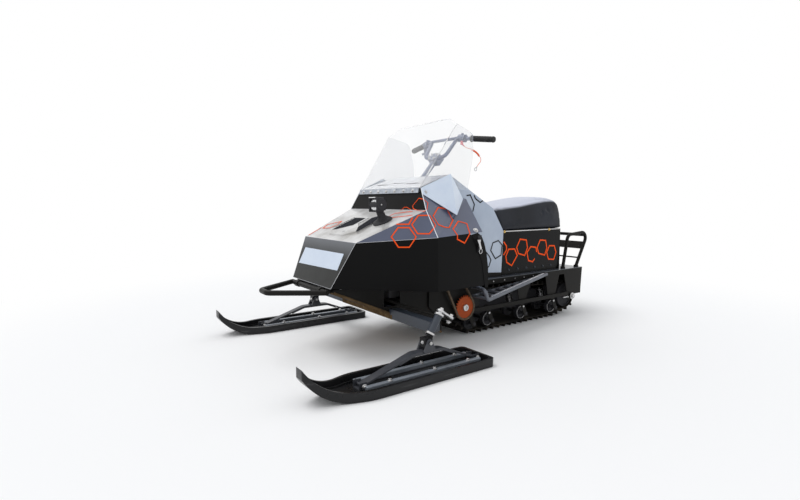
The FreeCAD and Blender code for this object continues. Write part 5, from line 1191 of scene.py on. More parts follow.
class SNOWMOBILE_OT_box_lines(Operator):
    """Orange outlines on the seat box and black ones on the console"""
    bl_idname = "snowmobile.box_lines"
    bl_label = "Box Outlines"

    def execute(self, context):
        printed_lines("seat_box_outlines", ("seat_box",), BOX_HEXAGONS, sizes().box_line, "orange_line",
                      "frame", mirrored=True)
        printed_lines("console_outlines", ("console",), CONSOLE_HEXAGONS, sizes().console_line, "black_line",
                      "frame", mirrored=True)
        return {"FINISHED"}


# Folded edges of the hood, left side, those that cross it, and the cowl's edge, along which thin pale wires
# are painted highlights
HOOD_EDGES = (
    ((0.0, 0.224, 0.362), (-0.104, 0.283, 0.578)),
    ((-0.104, 0.283, 0.578), (-0.489, 0.421, 0.595)),
)
CROSS_EDGES = (
    ((0.0, -0.224, 0.362), (0.0, 0.224, 0.362)),
    ((-0.104, -0.283, 0.578), (-0.104, 0.283, 0.578)),
    ((-0.4505, -0.374, 0.7296), (-0.4505, 0.374, 0.7296)),
)
COWL_EDGE = ((-0.476, 0.300, 0.841), (-0.451, 0.375, 0.729), (-0.489, 0.421, 0.595))


def open_runs(lines, mirrored=False):
    """Open runs through places, on one side or on both."""
    runs = []
    for places in lines:
        points = [at(*place) for place in places]
        runs.append((points, False))
        if mirrored:
            runs.append(([flipped(point) for point in points], False))
    return runs


class SNOWMOBILE_OT_hood_edges(Operator):
    """Thin pale wires along the hood's folded edges, painted highlights where they catch the light"""
    bl_idname = "snowmobile.hood_edges"
    bl_label = "Hood Edges"

    def execute(self, context):
        seams("hood_edges", open_runs(HOOD_EDGES, mirrored=True) + open_runs(CROSS_EDGES), sizes().hood_edge,
              "folded_edge", "hood")
        seams("cowl_edges", open_runs([COWL_EDGE], mirrored=True), sizes().cowl_edge, "white_edge", "hood")
        return {"FINISHED"}


# The blank plate on the nose: its corners on the photograph, its gap to the sheet, thickness and edge
NOSE_PLATE = ((305.8, 247.3), (344.0, 254.0), (337.3, 270.7), (299.1, 262.7))
NOSE_PLATE_GAP = 0.0003
NOSE_PLATE_THICK = 0.0016
NOSE_PLATE_EDGE = 0.0006


class SNOWMOBILE_OT_nose_plate(Operator):
    """The blank plate on the nose"""
    bl_idname = "snowmobile.nose_plate"
    bl_label = "Nose Plate"

    def execute(self, context):
        corners = pixels_on(tree_of("nose_panel"), NOSE_PLATE)
        bm = bmesh.new()
        rings_into(bm, [[point + normal * gap for point, normal in corners]
                        for gap in (NOSE_PLATE_GAP, NOSE_PLATE_THICK)])
        plate = mesh_object("nose_plate", bm, "nose_plate_enamel", "hood")
        add_modifier(plate, "BEVEL", width=NOSE_PLATE_EDGE, segments=2)
        return {"FINISHED"}


# Bolts of the hood: radius and height of their heads, the strip's row, and single ones on the photograph
STRIP_PITCH = 0.0815
STRIP_ROW = tuple((-0.466, STRIP_PITCH * k, 0.828) for k in range(-3, 4))
STRIP_WAY = Vector((1, 0, 0.4))
SHELL_BOLT = (425.7, 192.2)
TOP_SCREW = (343.5, 231.3)
FACET_BOLT = (475.6, 230.3)
SMALL_HEAD = (0.0062, 0.005)
SCREW_HEAD = (0.006, 0.003)
FACET_HEAD = (0.0095, 0.007)


class SNOWMOBILE_OT_hood_bolts(Operator):
    """Bolts and screws of strip, shells, hood top and facets"""
    bl_idname = "snowmobile.hood_bolts"
    bl_label = "Hood Bolts"

    def execute(self, context):
        front = on_surface(("cowl_strip",), at(*STRIP_ROW[len(STRIP_ROW) // 2]), STRIP_WAY)[1]
        bolts("strip_bolts", seated(("cowl_strip",), STRIP_ROW, front), SMALL_HEAD, body_with("cowl_strip"))
        bolts("shell_bolts", both_sides(pixels_on(tree_of("dash_shells"), [SHELL_BOLT])), SMALL_HEAD,
              body_with("dash_shells"))
        bolts("hood_top_screw", pixels_on(tree_of("hood_top"), [TOP_SCREW]), SCREW_HEAD, "hood")
        corner = pixels_on(tree_of("hood_rear_facets", "hood_side_panels"), [FACET_BOLT])
        bolts("facet_bolts", both_sides(corner), FACET_HEAD, "hood")
        return {"FINISHED"}


# The side panels' plane, and on the photograph: their rear lips with rolled edges, the latches' clasps
# with the middles of their rings, and the console's dark foot
SIDE_PLANE = ((-0.489, 0.421, 0.595), (-0.7925, 0.422, 0.614), (-0.850, 0.400, 0.320))
PANEL_LIP = ((471.2, 234.9), (477.5, 232.6), (481.5, 236.0), (484.3, 243.5), (486.6, 254.5), (488.0, 268.0),
             (487.9, 287.3), (484.8, 287.4), (482.0, 262.0), (474.5, 241.0))
LIP_THICK = 0.0012
CLASP = ((476.9, 239.9), (480.3, 239.6), (479.9, 242.6), (481.3, 248.6), (479.6, 248.9), (478.3, 243.4))
CLASP_GAP = 0.0155
CLASP_THICK = 0.004
RING_MIDDLE = (480.7, 251.3)
RING_GAP = 0.014
RING_HALF = (0.0125, 0.0105)
CONSOLE_FOOT = ((487.4, 272.6), (501.4, 272.4), (501.3, 276.6), (486.6, 279.6))
FOOT_GAP = 0.0006
FOOT_THICK = 0.0008


class SNOWMOBILE_OT_latch_trim(Operator):
    """Rear lips of the side panels, and clasps and rings of the latches"""
    bl_idname = "snowmobile.latch_trim"
    bl_label = "Latch Trim"

    def execute(self, context):
        plane = plane_through(SIDE_PLANE, SIDE_AXIS)
        patches("panel_lips", [PANEL_LIP], plane, LIP_THICK, LIP_THICK, "black_powder_coat", "hood")
        patches("latch_clasps", [CLASP], plane, CLASP_GAP, CLASP_THICK, "zinc_steel", "hood")
        u, v = axes_for(plane[1])
        ring = loop(on_plane(RING_MIDDLE, plane, RING_GAP), u * RING_HALF[0], v * RING_HALF[1], count=16)
        seams("latch_rings", [(ring, True), ([flipped(point) for point in ring], True)], sizes().latch_wire,
              "zinc_steel", "hood")
        return {"FINISHED"}


class SNOWMOBILE_OT_console_feet(Operator):
    """The dark foot of the console on both sides"""
    bl_idname = "snowmobile.console_feet"
    bl_label = "Console Feet"

    def execute(self, context):
        plane = pixels_on(tree_of("console"), [CONSOLE_FOOT[0]])[0]
        patches("console_feet", [CONSOLE_FOOT], plane, FOOT_GAP, FOOT_THICK, "frame_paint", "frame")
        return {"FINISHED"}


# The hood top's vents on the photograph, its plane with the field above it, and the dash's slots, over which
# black films paint in the shade inside them
VENTS = (
    ((355.9, 231.5), (358.2, 226.9), (371.9, 217.9), (378.4, 216.1), (377.4, 220.2), (359.1, 230.6)),
    ((332.3, 229.4), (355.5, 217.9), (365.5, 218.2), (353.0, 225.0), (336.4, 229.0)),
)
TOP_PLANE = ((-0.104, 0.283, 0.578), (-0.104, -0.283, 0.578), (-0.451, 0.375, 0.729))
FIELD_RISE = 0.007
DASH_SLOT_SHADE = (
    (((377.6, 185.6), (387.5, 185.2)), False),
    (((393.3, 183.8), (405.1, 183.2)), False),
    (((406.3, 184.0), (419.1, 183.2)), False),
)

# The vents' mesh: its gap above the field and its thickness
MESH_GAP = 0.0006
MESH_THICK = 0.0008


class SNOWMOBILE_OT_grilles(Operator):
    """Mesh in the hood top's vents, and black films over the dash's slots as painted shade"""
    bl_idname = "snowmobile.grilles"
    bl_label = "Grilles"

    def execute(self, context):
        patches("vent_grilles", VENTS, plane_through(TOP_PLANE, UP_AXIS), FIELD_RISE + MESH_GAP, MESH_THICK,
                "vent_mesh", "hood", mirrored=False)
        printed_lines("dash_slots", ("dash_cover",), DASH_SLOT_SHADE, sizes().dash_slot, "black_line", "hood")
        return {"FINISHED"}


# Lamp: middles of its face and foot; lenses and their domes; lip; cooling fins; drum; screw; foot ring
LAMP_FACE = (-0.257, 0.190, 0.757)
LAMP_FOOT = (-0.317, 0.190, 0.670)
LENS_PLACES = ((-0.0095, 0.003, -0.0170), (-0.0095, 0.003, 0.0130))
LENS_HALF = (0.026, 0.0122)
LENS_RISE = 0.002
DOME_FRONT = 0.0015
DOME_SIDES = (-0.017, 0.0, 0.017)
DOME = ((0.0070, 0.0), (0.0070, 0.002), (0.006, 0.003), (0.004, 0.0038))
LIP = (Vector((-0.002, -0.0275, 0.0336)), Vector((0.0066, 0.0275, 0.0375)))
LIP_EDGE = 0.0008
FIN_BACK = -0.052
FIN_HEIGHTS = (-0.024, -0.008, 0.008, 0.024)
FIN_HALF = (0.040, 0.0052)
FIN_RISE = -0.006
DRUM_BACK = -0.030
DRUM = ((0.027, -0.041), (0.029, -0.038), (0.029, 0.038), (0.027, 0.041))
LAMP_SCREW = Vector((-0.025, 0.040, 0.0))
LAMP_HEAD = (0.0038, 0.003)
FOOT_RING = ((0.052, 0.0), (0.052, 0.005), (0.047, 0.011), (0.030, 0.016))
FOOT_RING_GAP = 0.0004
TOP_MIDDLE = (-0.15, 0.0, 0.62)

# A pillow's rings as shares of its half sizes, points on a ring, and how square and how flat it is
PILLOW_SHARES = (1.0, 0.95, 0.8, 0.5)
PILLOW_POINTS = 32
PILLOW_SQUARE = 0.4
PILLOW_FLAT = 4


def pillow_into(bm, centre, half, rise):
    """A form that bulges towards the front, with rounded corners."""
    rings = []
    for share in PILLOW_SHARES:
        ring = []
        for corner in loop(Vector(), FRONT_AXIS, SIDE_AXIS, PILLOW_POINTS):
            y, z = [math.copysign(abs(c) ** PILLOW_SQUARE, c) * size * share
                    for c, size in zip(corner.xy, half)]
            ring.append(centre + Vector((rise * (1 - share ** PILLOW_FLAT), y, z)))
        rings.append(ring)
    rings_into(bm, rings)


class SNOWMOBILE_OT_lamp(Operator):
    """Reflectors, lip, finned housing, screw and foot ring of the lamp"""
    bl_idname = "snowmobile.lamp"
    bl_label = "Lamp"

    def execute(self, context):
        body = body_with("headlamp")
        face = at(*LAMP_FACE)
        bm = bmesh.new()
        for place in LENS_PLACES:
            centre = face + Vector(place)
            pillow_into(bm, centre, LENS_HALF, LENS_RISE)
            for y in DOME_SIDES:
                lathe_into(bm, DOME, centre + Vector((DOME_FRONT, y, 0)), FRONT_AXIS, sides=20)
        mesh_object("lamp_reflectors", bm, "lamp_reflector", body, sharp=40)
        bevelled("lamp_lip", [[face + corner for corner in LIP]], LIP_EDGE, "lamp_reflector", body)
        bm = bmesh.new()
        for z in FIN_HEIGHTS:
            pillow_into(bm, face + Vector((FIN_BACK, 0, z)), FIN_HALF, FIN_RISE)
        lathe_into(bm, DRUM, face + FRONT_AXIS * DRUM_BACK, SIDE_AXIS, sides=36)
        mesh_object("lamp_housing", bm, "black_plastic", body, sharp=40)
        bolts("lamp_screws", [(face + LAMP_SCREW, SIDE_AXIS)], LAMP_HEAD, body)
        up = on_surface(("hood_top",), at(*TOP_MIDDLE), UP_AXIS)[1]
        lathe("lamp_foot_ring", FOOT_RING, at(*LAMP_FOOT) + up * FOOT_RING_GAP, up, "black_plastic",
              body_with("headlamp_bracket"))
        return {"FINISHED"}


# Kingpins: the ski's pivot and the stem's lean; sleeve and collars along the stem; bolts of arm and fork
PIVOT = (-0.290, 0.583, 0.147)
KINGPIN_LEAN = math.radians(33)
STEM_AXIS = Vector((-math.sin(KINGPIN_LEAN), 0, math.cos(KINGPIN_LEAN)))
ARM_BACK = Vector((-math.cos(KINGPIN_LEAN), 0, -math.sin(KINGPIN_LEAN)))
SLEEVE = ((0.0176, 0.0448), (0.0176, 0.1312))
COLLAR_STARTS = (0.0356, 0.1305)
COLLAR = ((0.0225, 0.0), (0.0236, 0.0012), (0.0236, 0.0086), (0.0225, 0.0098))
STEM_TOP = 0.157
ARM_TIP = STEM_AXIS * 0.149 + ARM_BACK * 0.070
TIP_ABOVE = 0.008
TIP_BELOW = -0.0152
ARM_HEAD = (0.0085, 0.009)
FORK_SIDE = 0.035
FORK_FRONT = 0.021
FORK_HEAD = (0.0052, 0.005)

# Runner bars: their middles beside the ski's, half width, ends, foot, eased edges and bolts
RUNNER_SIDE = 0.048
RUNNER_HALF = 0.0114
RUNNER_ENDS = (-0.5764, 0.0554)
RUNNER_FOOT = 0.0124
RUNNER_EDGE = 0.004
RUNNER_BOLTS = (-0.061, -0.300, -0.500)
RUNNER_HEAD = (0.0075, 0.007)
BRACKET_ENDS = (0.055, -0.576)
BRACKET_SIDE = 0.0365
BRACKET_Z = 0.0283
BRACKET_HEAD = (0.0078, 0.007)


def add_kingpin(name, pivot, out):
    """Sleeve, collars and bolts of one kingpin."""
    lathe("kingpin_sleeve_" + name, SLEEVE, pivot, STEM_AXIS, "beam_paint", "frame")
    bm = bmesh.new()
    for start in COLLAR_STARTS:
        lathe_into(bm, [(radius, start + along) for radius, along in COLLAR], pivot, STEM_AXIS,
                   sides=40)
    mesh_object("kingpin_collars_" + name, bm, "zinc_steel", "frame", sharp=30)
    spindle = body_with("spindle_" + name)
    tip = pivot + ARM_TIP
    bolts("arm_bolts_" + name, [(pivot + STEM_AXIS * STEM_TOP, STEM_AXIS),
                                (tip + STEM_AXIS * TIP_ABOVE, STEM_AXIS),
                                (tip + STEM_AXIS * TIP_BELOW, -STEM_AXIS)], ARM_HEAD, spindle)
    bolts("fork_bolts_" + name, [(pivot + out * FORK_SIDE, out), (pivot - out * FORK_SIDE, -out),
                                 (pivot + FRONT_AXIS * FORK_FRONT, FRONT_AXIS)], FORK_HEAD, spindle)


def add_runners(name, middle):
    """Runner bars of one ski with their bolts."""
    ski = body_with("ski_bow_" + name)
    top = sizes().runner_top
    rear, front = RUNNER_ENDS
    bars = []
    spots = []
    for y in (middle - RUNNER_SIDE, middle + RUNNER_SIDE):
        bars.append((at(rear, y - RUNNER_HALF, RUNNER_FOOT), at(front, y + RUNNER_HALF, top)))
        spots += [(at(x, y, top), UP_AXIS) for x in RUNNER_BOLTS]
    bevelled("runner_bars_" + name, bars, RUNNER_EDGE, "runner_paint", ski)
    bolts("runner_bolts_" + name, spots, RUNNER_HEAD, ski)
    ends = [(at(x, middle + way * BRACKET_SIDE, BRACKET_Z), SIDE_AXIS * way)
            for x in BRACKET_ENDS for way in (-1, 1)]
    bolts("bracket_bolts_" + name, ends, BRACKET_HEAD, ski)


class SNOWMOBILE_OT_front_gear(Operator):
    """Kingpin trim and runner bars of both skis"""
    bl_idname = "snowmobile.front_gear"
    bl_label = "Front Gear"

    def execute(self, context):
        for side, name in ((1, "left"), (-1, "right")):
            add_kingpin(name, at(PIVOT[0], side * PIVOT[1], PIVOT[2]), SIDE_AXIS * side)
            add_runners(name, side * PIVOT[1])
        return {"FINISHED"}


# Seat box: places near its screws and feet, and their heads
SEAT_BOX_SCREWS = ((-1.188, 0.3, 0.591), (-1.618, 0.3, 0.591))
BOX_SCREW_HEAD = (0.0055, 0.005)
SEAT_BOX_FEET = tuple((-1.233 - 0.082 * k, 0.3, 0.351) for k in range(6))
BOX_FOOT_HEAD = (0.0052, 0.005)


class SNOWMOBILE_OT_box_screws(Operator):
    """Screws and feet of the seat box"""
    bl_idname = "snowmobile.box_screws"
    bl_label = "Box Screws"

    def execute(self, context):
        box = ("seat_box",)
        bolts("seat_box_screws", both_sides(seated(box, SEAT_BOX_SCREWS, SIDE_AXIS)), BOX_SCREW_HEAD, "frame",
              "yellow_zinc")
        bolts("seat_box_feet", both_sides(seated(box, SEAT_BOX_FEET, SIDE_AXIS)), BOX_FOOT_HEAD, "frame",
              "beam_paint")
        return {"FINISHED"}


# Places near the bolts of side plates, roller arms and rear axle, and their heads
PLATE_BOLTS = tuple((x, 0.4, 0.304) for x in (-1.047, -1.142, -1.235, -1.319, -1.410))
PLATE_HEAD = (0.0042, 0.005)
ROLLER_BOLTS = ((-1.019, 0.35, 0.118), (-1.322, 0.35, 0.118), (-1.625, 0.35, 0.118))
ROLLER_HEAD = (0.0075, 0.008)
REAR_AXLE = (-1.811, 0.35, 0.131)
AXLE_HEAD = (0.0145, 0.012)


class SNOWMOBILE_OT_frame_bolts(Operator):
    """Bolts of side plates, roller arms and rear axle"""
    bl_idname = "snowmobile.frame_bolts"
    bl_label = "Frame Bolts"

    def execute(self, context):
        plates = seated(("side_plates",), PLATE_BOLTS, SIDE_AXIS)
        bolts("plate_bolts", both_sides(plates), PLATE_HEAD, "frame", washer=False)
        arms = seated(("roller_arms",), ROLLER_BOLTS, SIDE_AXIS)
        bolts("roller_bolts", both_sides(arms), ROLLER_HEAD, "frame", washer=False)
        axle = seated(("side_plates", "rear_axle"), [REAR_AXLE], SIDE_AXIS)
        bolts("rear_axle_bolts", both_sides(axle), AXLE_HEAD, "frame")
        return {"FINISHED"}


# Rollers: stations, height and a side to look from; the radius of their bright rims and its gap
ROLLERS = (-1.057, -1.360, -1.663)
ROLLER_Z = 0.066
ROLLER_SIDE = 0.35
RIM_PLACE = 0.038
RIM_RADIUS = 0.0385
RIM_GAP = 0.0006


class SNOWMOBILE_OT_roller_rims(Operator):
    """Bright rims of the rollers' covers"""
    bl_idname = "snowmobile.roller_rims"
    bl_label = "Roller Rims"

    def execute(self, context):
        runs = []
        for x in ROLLERS:
            rim = on_surface(("track_wheels",), at(x, ROLLER_SIDE, ROLLER_Z - RIM_PLACE), SIDE_AXIS)[0]
            ring = loop(at(x, rim.y + RIM_GAP, ROLLER_Z), FRONT_AXIS * RIM_RADIUS, UP_AXIS * RIM_RADIUS,
                        count=40)
            runs += [(ring, True), ([flipped(point) for point in ring], True)]
        seams("roller_rims", runs, sizes().roller_rim, "zinc_steel", "frame")
        return {"FINISHED"}


# Hub of the chain sprocket: a place on the axle's end, how far off the sprocket's face is looked for,
# and the hub's radii with their distances past the axle's end
DRIVE_AXLE = (-0.800, 0.4, 0.182)
FACE_OFF = 0.03
HUB_RADIUS = 0.019
HUB = ((0.019, 0.005), (0.017, 0.007), (0.009, 0.007), (0.008, 0.002))


class SNOWMOBILE_OT_sprocket_hub(Operator):
    """The turned hub of the chain sprocket"""
    bl_idname = "snowmobile.sprocket_hub"
    bl_label = "Sprocket Hub"

    def execute(self, context):
        beside = (DRIVE_AXLE[0] + FACE_OFF, DRIVE_AXLE[1], DRIVE_AXLE[2])
        face = seated(("chain_sprocket",), [beside], SIDE_AXIS)[0][0].y
        end = seated(("chain_sprocket", "drive_axle"), [DRIVE_AXLE], SIDE_AXIS)[0][0].y - face
        profile = [(HUB_RADIUS, 0.0)] + [(radius, end + along) for radius, along in HUB]
        lathe("sprocket_hub", profile, at(DRIVE_AXLE[0], face, DRIVE_AXLE[2]), SIDE_AXIS, "zinc_steel",
              "frame")
        return {"FINISHED"}


# Teeth on the footboards' outer tubes: places near the row's ends, their number and form
TREAD_ENDS = ((-0.885, 0.4103, 0.42), (-1.482, 0.2863, 0.42))
TREAD_TEETH = 38
TOOTH_HEAD = (0.0058, 0.005)


class SNOWMOBILE_OT_tread_teeth(Operator):
    """Rows of teeth on the footboards' outer tubes"""
    bl_idname = "snowmobile.tread_teeth"
    bl_label = "Tread Teeth"

    def execute(self, context):
        first, last = [point for point, _ in seated(("footboards",), TREAD_ENDS, UP_AXIS)]
        teeth = [(first.lerp(last, k / TREAD_TEETH), UP_AXIS) for k in range(TREAD_TEETH + 1)]
        bolts("tread_teeth", both_sides(teeth), TOOTH_HEAD, "frame", "folded_edge", washer=False)
        return {"FINISHED"}


# Bright strip along the seat box: a place on the box's side, and the strip's ends, heights and depths
BOX_SIDE = (-1.4, 0.4, 0.592)
STRIP_ENDS = (-1.7395, -1.178)
STRIP_HEIGHTS = (0.5895, 0.5955)
STRIP_DEPTHS = (-0.001, 0.0012)
STRIP_EDGE = 0.0004


class SNOWMOBILE_OT_box_strips(Operator):
    """Bright strips along the seat box"""
    bl_idname = "snowmobile.box_strips"
    bl_label = "Box Strips"

    def execute(self, context):
        half = seated(("seat_box",), [BOX_SIDE], SIDE_AXIS)[0][0].y
        blocks = []
        for side in (-1, 1):
            low, high = sorted(side * (half + depth) for depth in STRIP_DEPTHS)
            blocks.append((at(STRIP_ENDS[0], low, STRIP_HEIGHTS[0]),
                           at(STRIP_ENDS[1], high, STRIP_HEIGHTS[1])))
        bevelled("seat_box_strip", blocks, STRIP_EDGE, "zinc_steel", "frame")
        return {"FINISHED"}


# Tension bolts of the rear axle: a place on the side plate, their start behind it, shank and head
PLATE_SIDE = (-1.86, 0.35, 0.22)
TENSION_START = (-1.772, 0.128)
TENSION_OUT = 0.0055
SHANK = ((0.0045, 0.0), (0.0045, 0.052))
TENSION_HEAD = ((0.008, 0.0), (0.008, 0.007))


class SNOWMOBILE_OT_tension_bolts(Operator):
    """Long bolts that tighten the track"""
    bl_idname = "snowmobile.tension_bolts"
    bl_label = "Tension Bolts"

    def execute(self, context):
        side_y = seated(("side_plates",), [PLATE_SIDE], SIDE_AXIS)[0][0].y + TENSION_OUT
        bm = bmesh.new()
        for side in (-1, 1):
            start = at(TENSION_START[0], side * side_y, TENSION_START[1])
            lathe_into(bm, SHANK, start, FRONT_AXIS, sides=16)
            lathe_into(bm, TENSION_HEAD, start, FRONT_AXIS, sides=6)
        mesh_object("tension_bolts", bm, "zinc_steel", "frame")
        return {"FINISHED"}


# Inside the track: rails as (rear, front, low, high) with their inner and outer sides, and springs with
# their places, lean, coils and rods
SKID_BEAMS = ((-1.700, -0.920, 0.058, 0.165), (-1.640, -1.000, 0.170, 0.225))
SKID_SIDE = (0.050, 0.066)
SKID_EDGE = 0.002
SPRING_PLACES = ((-1.330, 0.150), (-1.640, 0.150), (-1.020, 0.150))
SPRING_SIDE = 0.150
SPRING_WAY = Vector((0.3, 0, 1))
SPRING_COILS = 7
SPRING_FOOT = -0.035
COIL_STEP = (0.004, 0.011)
COIL = ((0.019, 0.0), (0.022, 0.003), (0.019, 0.006))
ROD_PLACE = (-0.002, -0.042)
ROD = ((0.009, 0.0), (0.009, 0.085))


class SNOWMOBILE_OT_skid_frame(Operator):
    """Dark rails and plated springs inside the track, as far as the windows show them"""
    bl_idname = "snowmobile.skid_frame"
    bl_label = "Skid Frame"

    def execute(self, context):
        blocks = []
        for rear, front, bottom, top in SKID_BEAMS:
            for side in (-1, 1):
                low, high = sorted(side * y for y in SKID_SIDE)
                blocks.append((at(rear, low, bottom), at(front, high, top)))
        bevelled("skid_rails", blocks, SKID_EDGE, "black_plastic", "frame")
        bm = bmesh.new()
        for x, z in SPRING_PLACES:
            for y in (-SPRING_SIDE, SPRING_SIDE):
                for k in range(SPRING_COILS):
                    lathe_into(bm, COIL, at(x + COIL_STEP[0] * k, y, z + SPRING_FOOT + COIL_STEP[1] * k),
                               SPRING_WAY, sides=24)
                lathe_into(bm, ROD, at(x + ROD_PLACE[0], y, z + ROD_PLACE[1]), SPRING_WAY,
                           sides=16)
        mesh_object("skid_springs", bm, "zinc_steel", "frame", sharp=40)
        return {"FINISHED"}


# Belly: ends of its lower edge, the skin's gap and thickness, and the corners of its cross bar
BELLY_FRONT = (-0.022, 0.213, 0.3385)
BELLY_REAR = (-0.650, 0.2616, 0.0605)
SKIN_GAP = 0.0006
SKIN_THICK = 0.001
CROSS_BAR = ((-0.3772, -0.262, 0.1766), (-0.3228, 0.262, 0.1990))


class SNOWMOBILE_OT_belly_strips(Operator):
    """Worn brown strips along the belly's lower edges, its skin and cross bar"""
    bl_idname = "snowmobile.belly_strips"
    bl_label = "Belly Strips"

    def execute(self, context):
        seams("belly_strips", open_runs([(BELLY_FRONT, BELLY_REAR)], mirrored=True), sizes().belly_strip,
              "belly_strip", "frame")
        near = [at(*BELLY_FRONT), at(*BELLY_REAR)]
        corners = near + [flipped(point) for point in reversed(near)]
        down = (corners[1] - corners[0]).cross(corners[2] - corners[1]).normalized()
        down = down if down.z < 0 else -down
        bm = bmesh.new()
        rings_into(bm, [[point + down * gap for point in corners]
                        for gap in (SKIN_GAP, SKIN_GAP + SKIN_THICK)])
        block_into(bm, *[at(*corner) for corner in CROSS_BAR])
        mesh_object("belly_skin", bm, "belly_strip", "frame")
        return {"FINISHED"}


# Seat: its front edge, rear edge, foot and half width, and at stations back from its front edge the
# heights of its top at the middle and at the side edge
SEAT_FRONT = -1.092
SEAT_REAR = -1.741
SEAT_LOW = 0.5970
SEAT_HALF = 0.217
SEAT_STATIONS = (
    (0.000, 0.728, 0.722), (0.040, 0.738, 0.733), (0.120, 0.748, 0.741), (0.200, 0.757, 0.747),
    (0.260, 0.767, 0.751), (0.330, 0.780, 0.759), (0.420, 0.794, 0.771), (0.500, 0.802, 0.781),
    (0.560, 0.803, 0.784), (0.605, 0.798, 0.781), (0.632, 0.778, 0.764), (0.645, 0.735, 0.727),
)

# The seat's section: its corners' radius, how much it narrows to the rear, the crown's two powers, the
# wall's bulge, the foot's tuck and hem, the lean of the front wall and how much of it is lost to the
# rear, and steps over top, corner and wall
SEAT_CORNER = 0.030
SEAT_TAPER = 0.010
SEAT_CROWN = (2, 0.8)
SEAT_BULGE = 0.004
SEAT_TUCK = 0.006
SEAT_HEM = 0.012
SEAT_LEAN = 0.088
SEAT_LEAN_LOSS = 0.064
TOP_STEPS = 8
CORNER_STEPS = 6
WALL_STEPS = 4


def seat_section(share_back, top_mid, top_side):
    """Half outline of the seat: (side, height) from the middle of the top down to the foot."""
    edge = SEAT_HALF - SEAT_TAPER * share_back
    flat = edge - SEAT_CORNER
    line = []
    for k in range(TOP_STEPS + 1):
        y = flat * k / TOP_STEPS
        crown = (1 - (y / edge) ** SEAT_CROWN[0]) ** SEAT_CROWN[1]
        line.append((y, top_side + (top_mid - top_side) * crown))
    start = line[-1][1]
    for k in range(1, CORNER_STEPS + 1):
        angle = math.pi / 2 * k / CORNER_STEPS
        line.append((flat + SEAT_CORNER * math.sin(angle), start - SEAT_CORNER * (1 - math.cos(angle))))
    start = line[-1][1]
    for k in range(1, WALL_STEPS + 1):
        share = k / WALL_STEPS
        line.append((edge + SEAT_BULGE * math.sin(math.pi * share),
                     start + (SEAT_LOW + SEAT_HEM - start) * share))
    return line + [(edge - SEAT_TUCK, SEAT_LOW)]


def seat_shell():
    """The plain padded form before it is blown up."""
    bm = bmesh.new()
    rings = []
    for back, top_mid, top_side in SEAT_STATIONS:
        half = seat_section(back / (SEAT_FRONT - SEAT_REAR), top_mid, top_side)
        lean = SEAT_LEAN - SEAT_LEAN_LOSS * back / (SEAT_FRONT - SEAT_REAR)
        ring = []
        for y, z in half + [(-y, z) for y, z in reversed(half[1:])]:
            drop = (top_mid - z) / (top_mid - SEAT_LOW)
            ring.append(bm.verts.new(at(SEAT_FRONT - back - lean * drop, y, z)))
        rings.append(ring)
    for low, high in zip(rings, rings[1:]):
        bridge(bm, low, high)
    bm.faces.new(rings[0])
    bm.faces.new(list(reversed(rings[-1])))
    return bm


def apply_modifiers(obj):
    """Bake an object's modifiers into its mesh."""
    graph = bpy.context.evaluated_depsgraph_get()
    mesh = bpy.data.meshes.new_from_object(obj.evaluated_get(graph))
    obj.modifiers.clear()
    old = obj.data
    obj.data = mesh
    bpy.data.meshes.remove(old)


# Steps of the cloth's solver in a frame, and frames that it runs
CLOTH_QUALITY = 6
CLOTH_FRAMES = 20


def inflate(context, obj, floor):
    """Blow the pad up a little as cloth, its foot held, and keep each point near its start."""
    scene = context.scene
    group = obj.vertex_groups.new(name="held")
    group.add([v.index for v in obj.data.vertices if v.co.z < floor + SEAT_HEM], 1.0, "REPLACE")
    start = [v.co.copy() for v in obj.data.vertices]
    cloth = add_modifier(obj, "CLOTH")
    cloth.settings.use_pressure = True
    cloth.settings.uniform_pressure_force = sizes().seat_pressure
    cloth.settings.effector_weights.gravity = 0.0
    cloth.settings.vertex_group_mass = group.name
    cloth.settings.quality = CLOTH_QUALITY
    cloth.point_cache.frame_start = 1
    cloth.point_cache.frame_end = CLOTH_FRAMES
    for number in range(1, CLOTH_FRAMES + 1):
        scene.frame_set(number)
    apply_modifiers(obj)
    scene.frame_set(1)
    swell = sizes().seat_swell
    for vertex, place in zip(obj.data.vertices, start):
        move = vertex.co - place
        if move.length > swell:
            vertex.co = place + move * (swell / move.length)
        vertex.co.z = max(vertex.co.z, floor)


class SNOWMOBILE_OT_seat(Operator):
    """The padded seat, blown up as cloth over its plain form"""
    bl_idname = "snowmobile.seat"
    bl_label = "Seat"

    def execute(self, context):
        seat = mesh_object("seat_cushion", seat_shell(), "seat_vinyl", "frame")
        add_modifier(seat, "REMESH", mode="VOXEL", voxel_size=sizes().seat_cell)
        apply_modifiers(seat)
        add_modifier(seat, "SMOOTH", factor=0.6, iterations=4)
        apply_modifiers(seat)
        inflate(context, seat, SEAT_LOW)
        add_modifier(seat, "SUBSURF", levels=1, render_levels=1)
        apply_modifiers(seat)
        seat.data.materials.clear()
        seat.data.materials.append(finish("seat_vinyl"))
        seat.data.shade_smooth()
        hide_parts("seat")
        return {"FINISHED"}


# Handlebar: start and end of its outer run, where the grip starts on it, and the grip's flange, ribs
# and end cap
BAR_RISE = (-0.888, 0.112, 1.141)
BAR_END = (-0.929, 0.358, 1.110)
GRIP_SHARE = 0.4065
FLANGE = ((0.0165, 0.0), (0.019, 0.001), (0.019, 0.004), (0.0165, 0.006))
GRIP_RIBS = 11
RIB_START = 0.014
RIBS_SHORT = 0.026
RIB = ((0.0154, 0.0), (0.0166, 0.0012), (0.0166, 0.0052), (0.0154, 0.0064))
END_CAP = ((0.0156, -0.006), (0.0172, -0.004), (0.0172, -0.0008), (0.0166, 0.0))


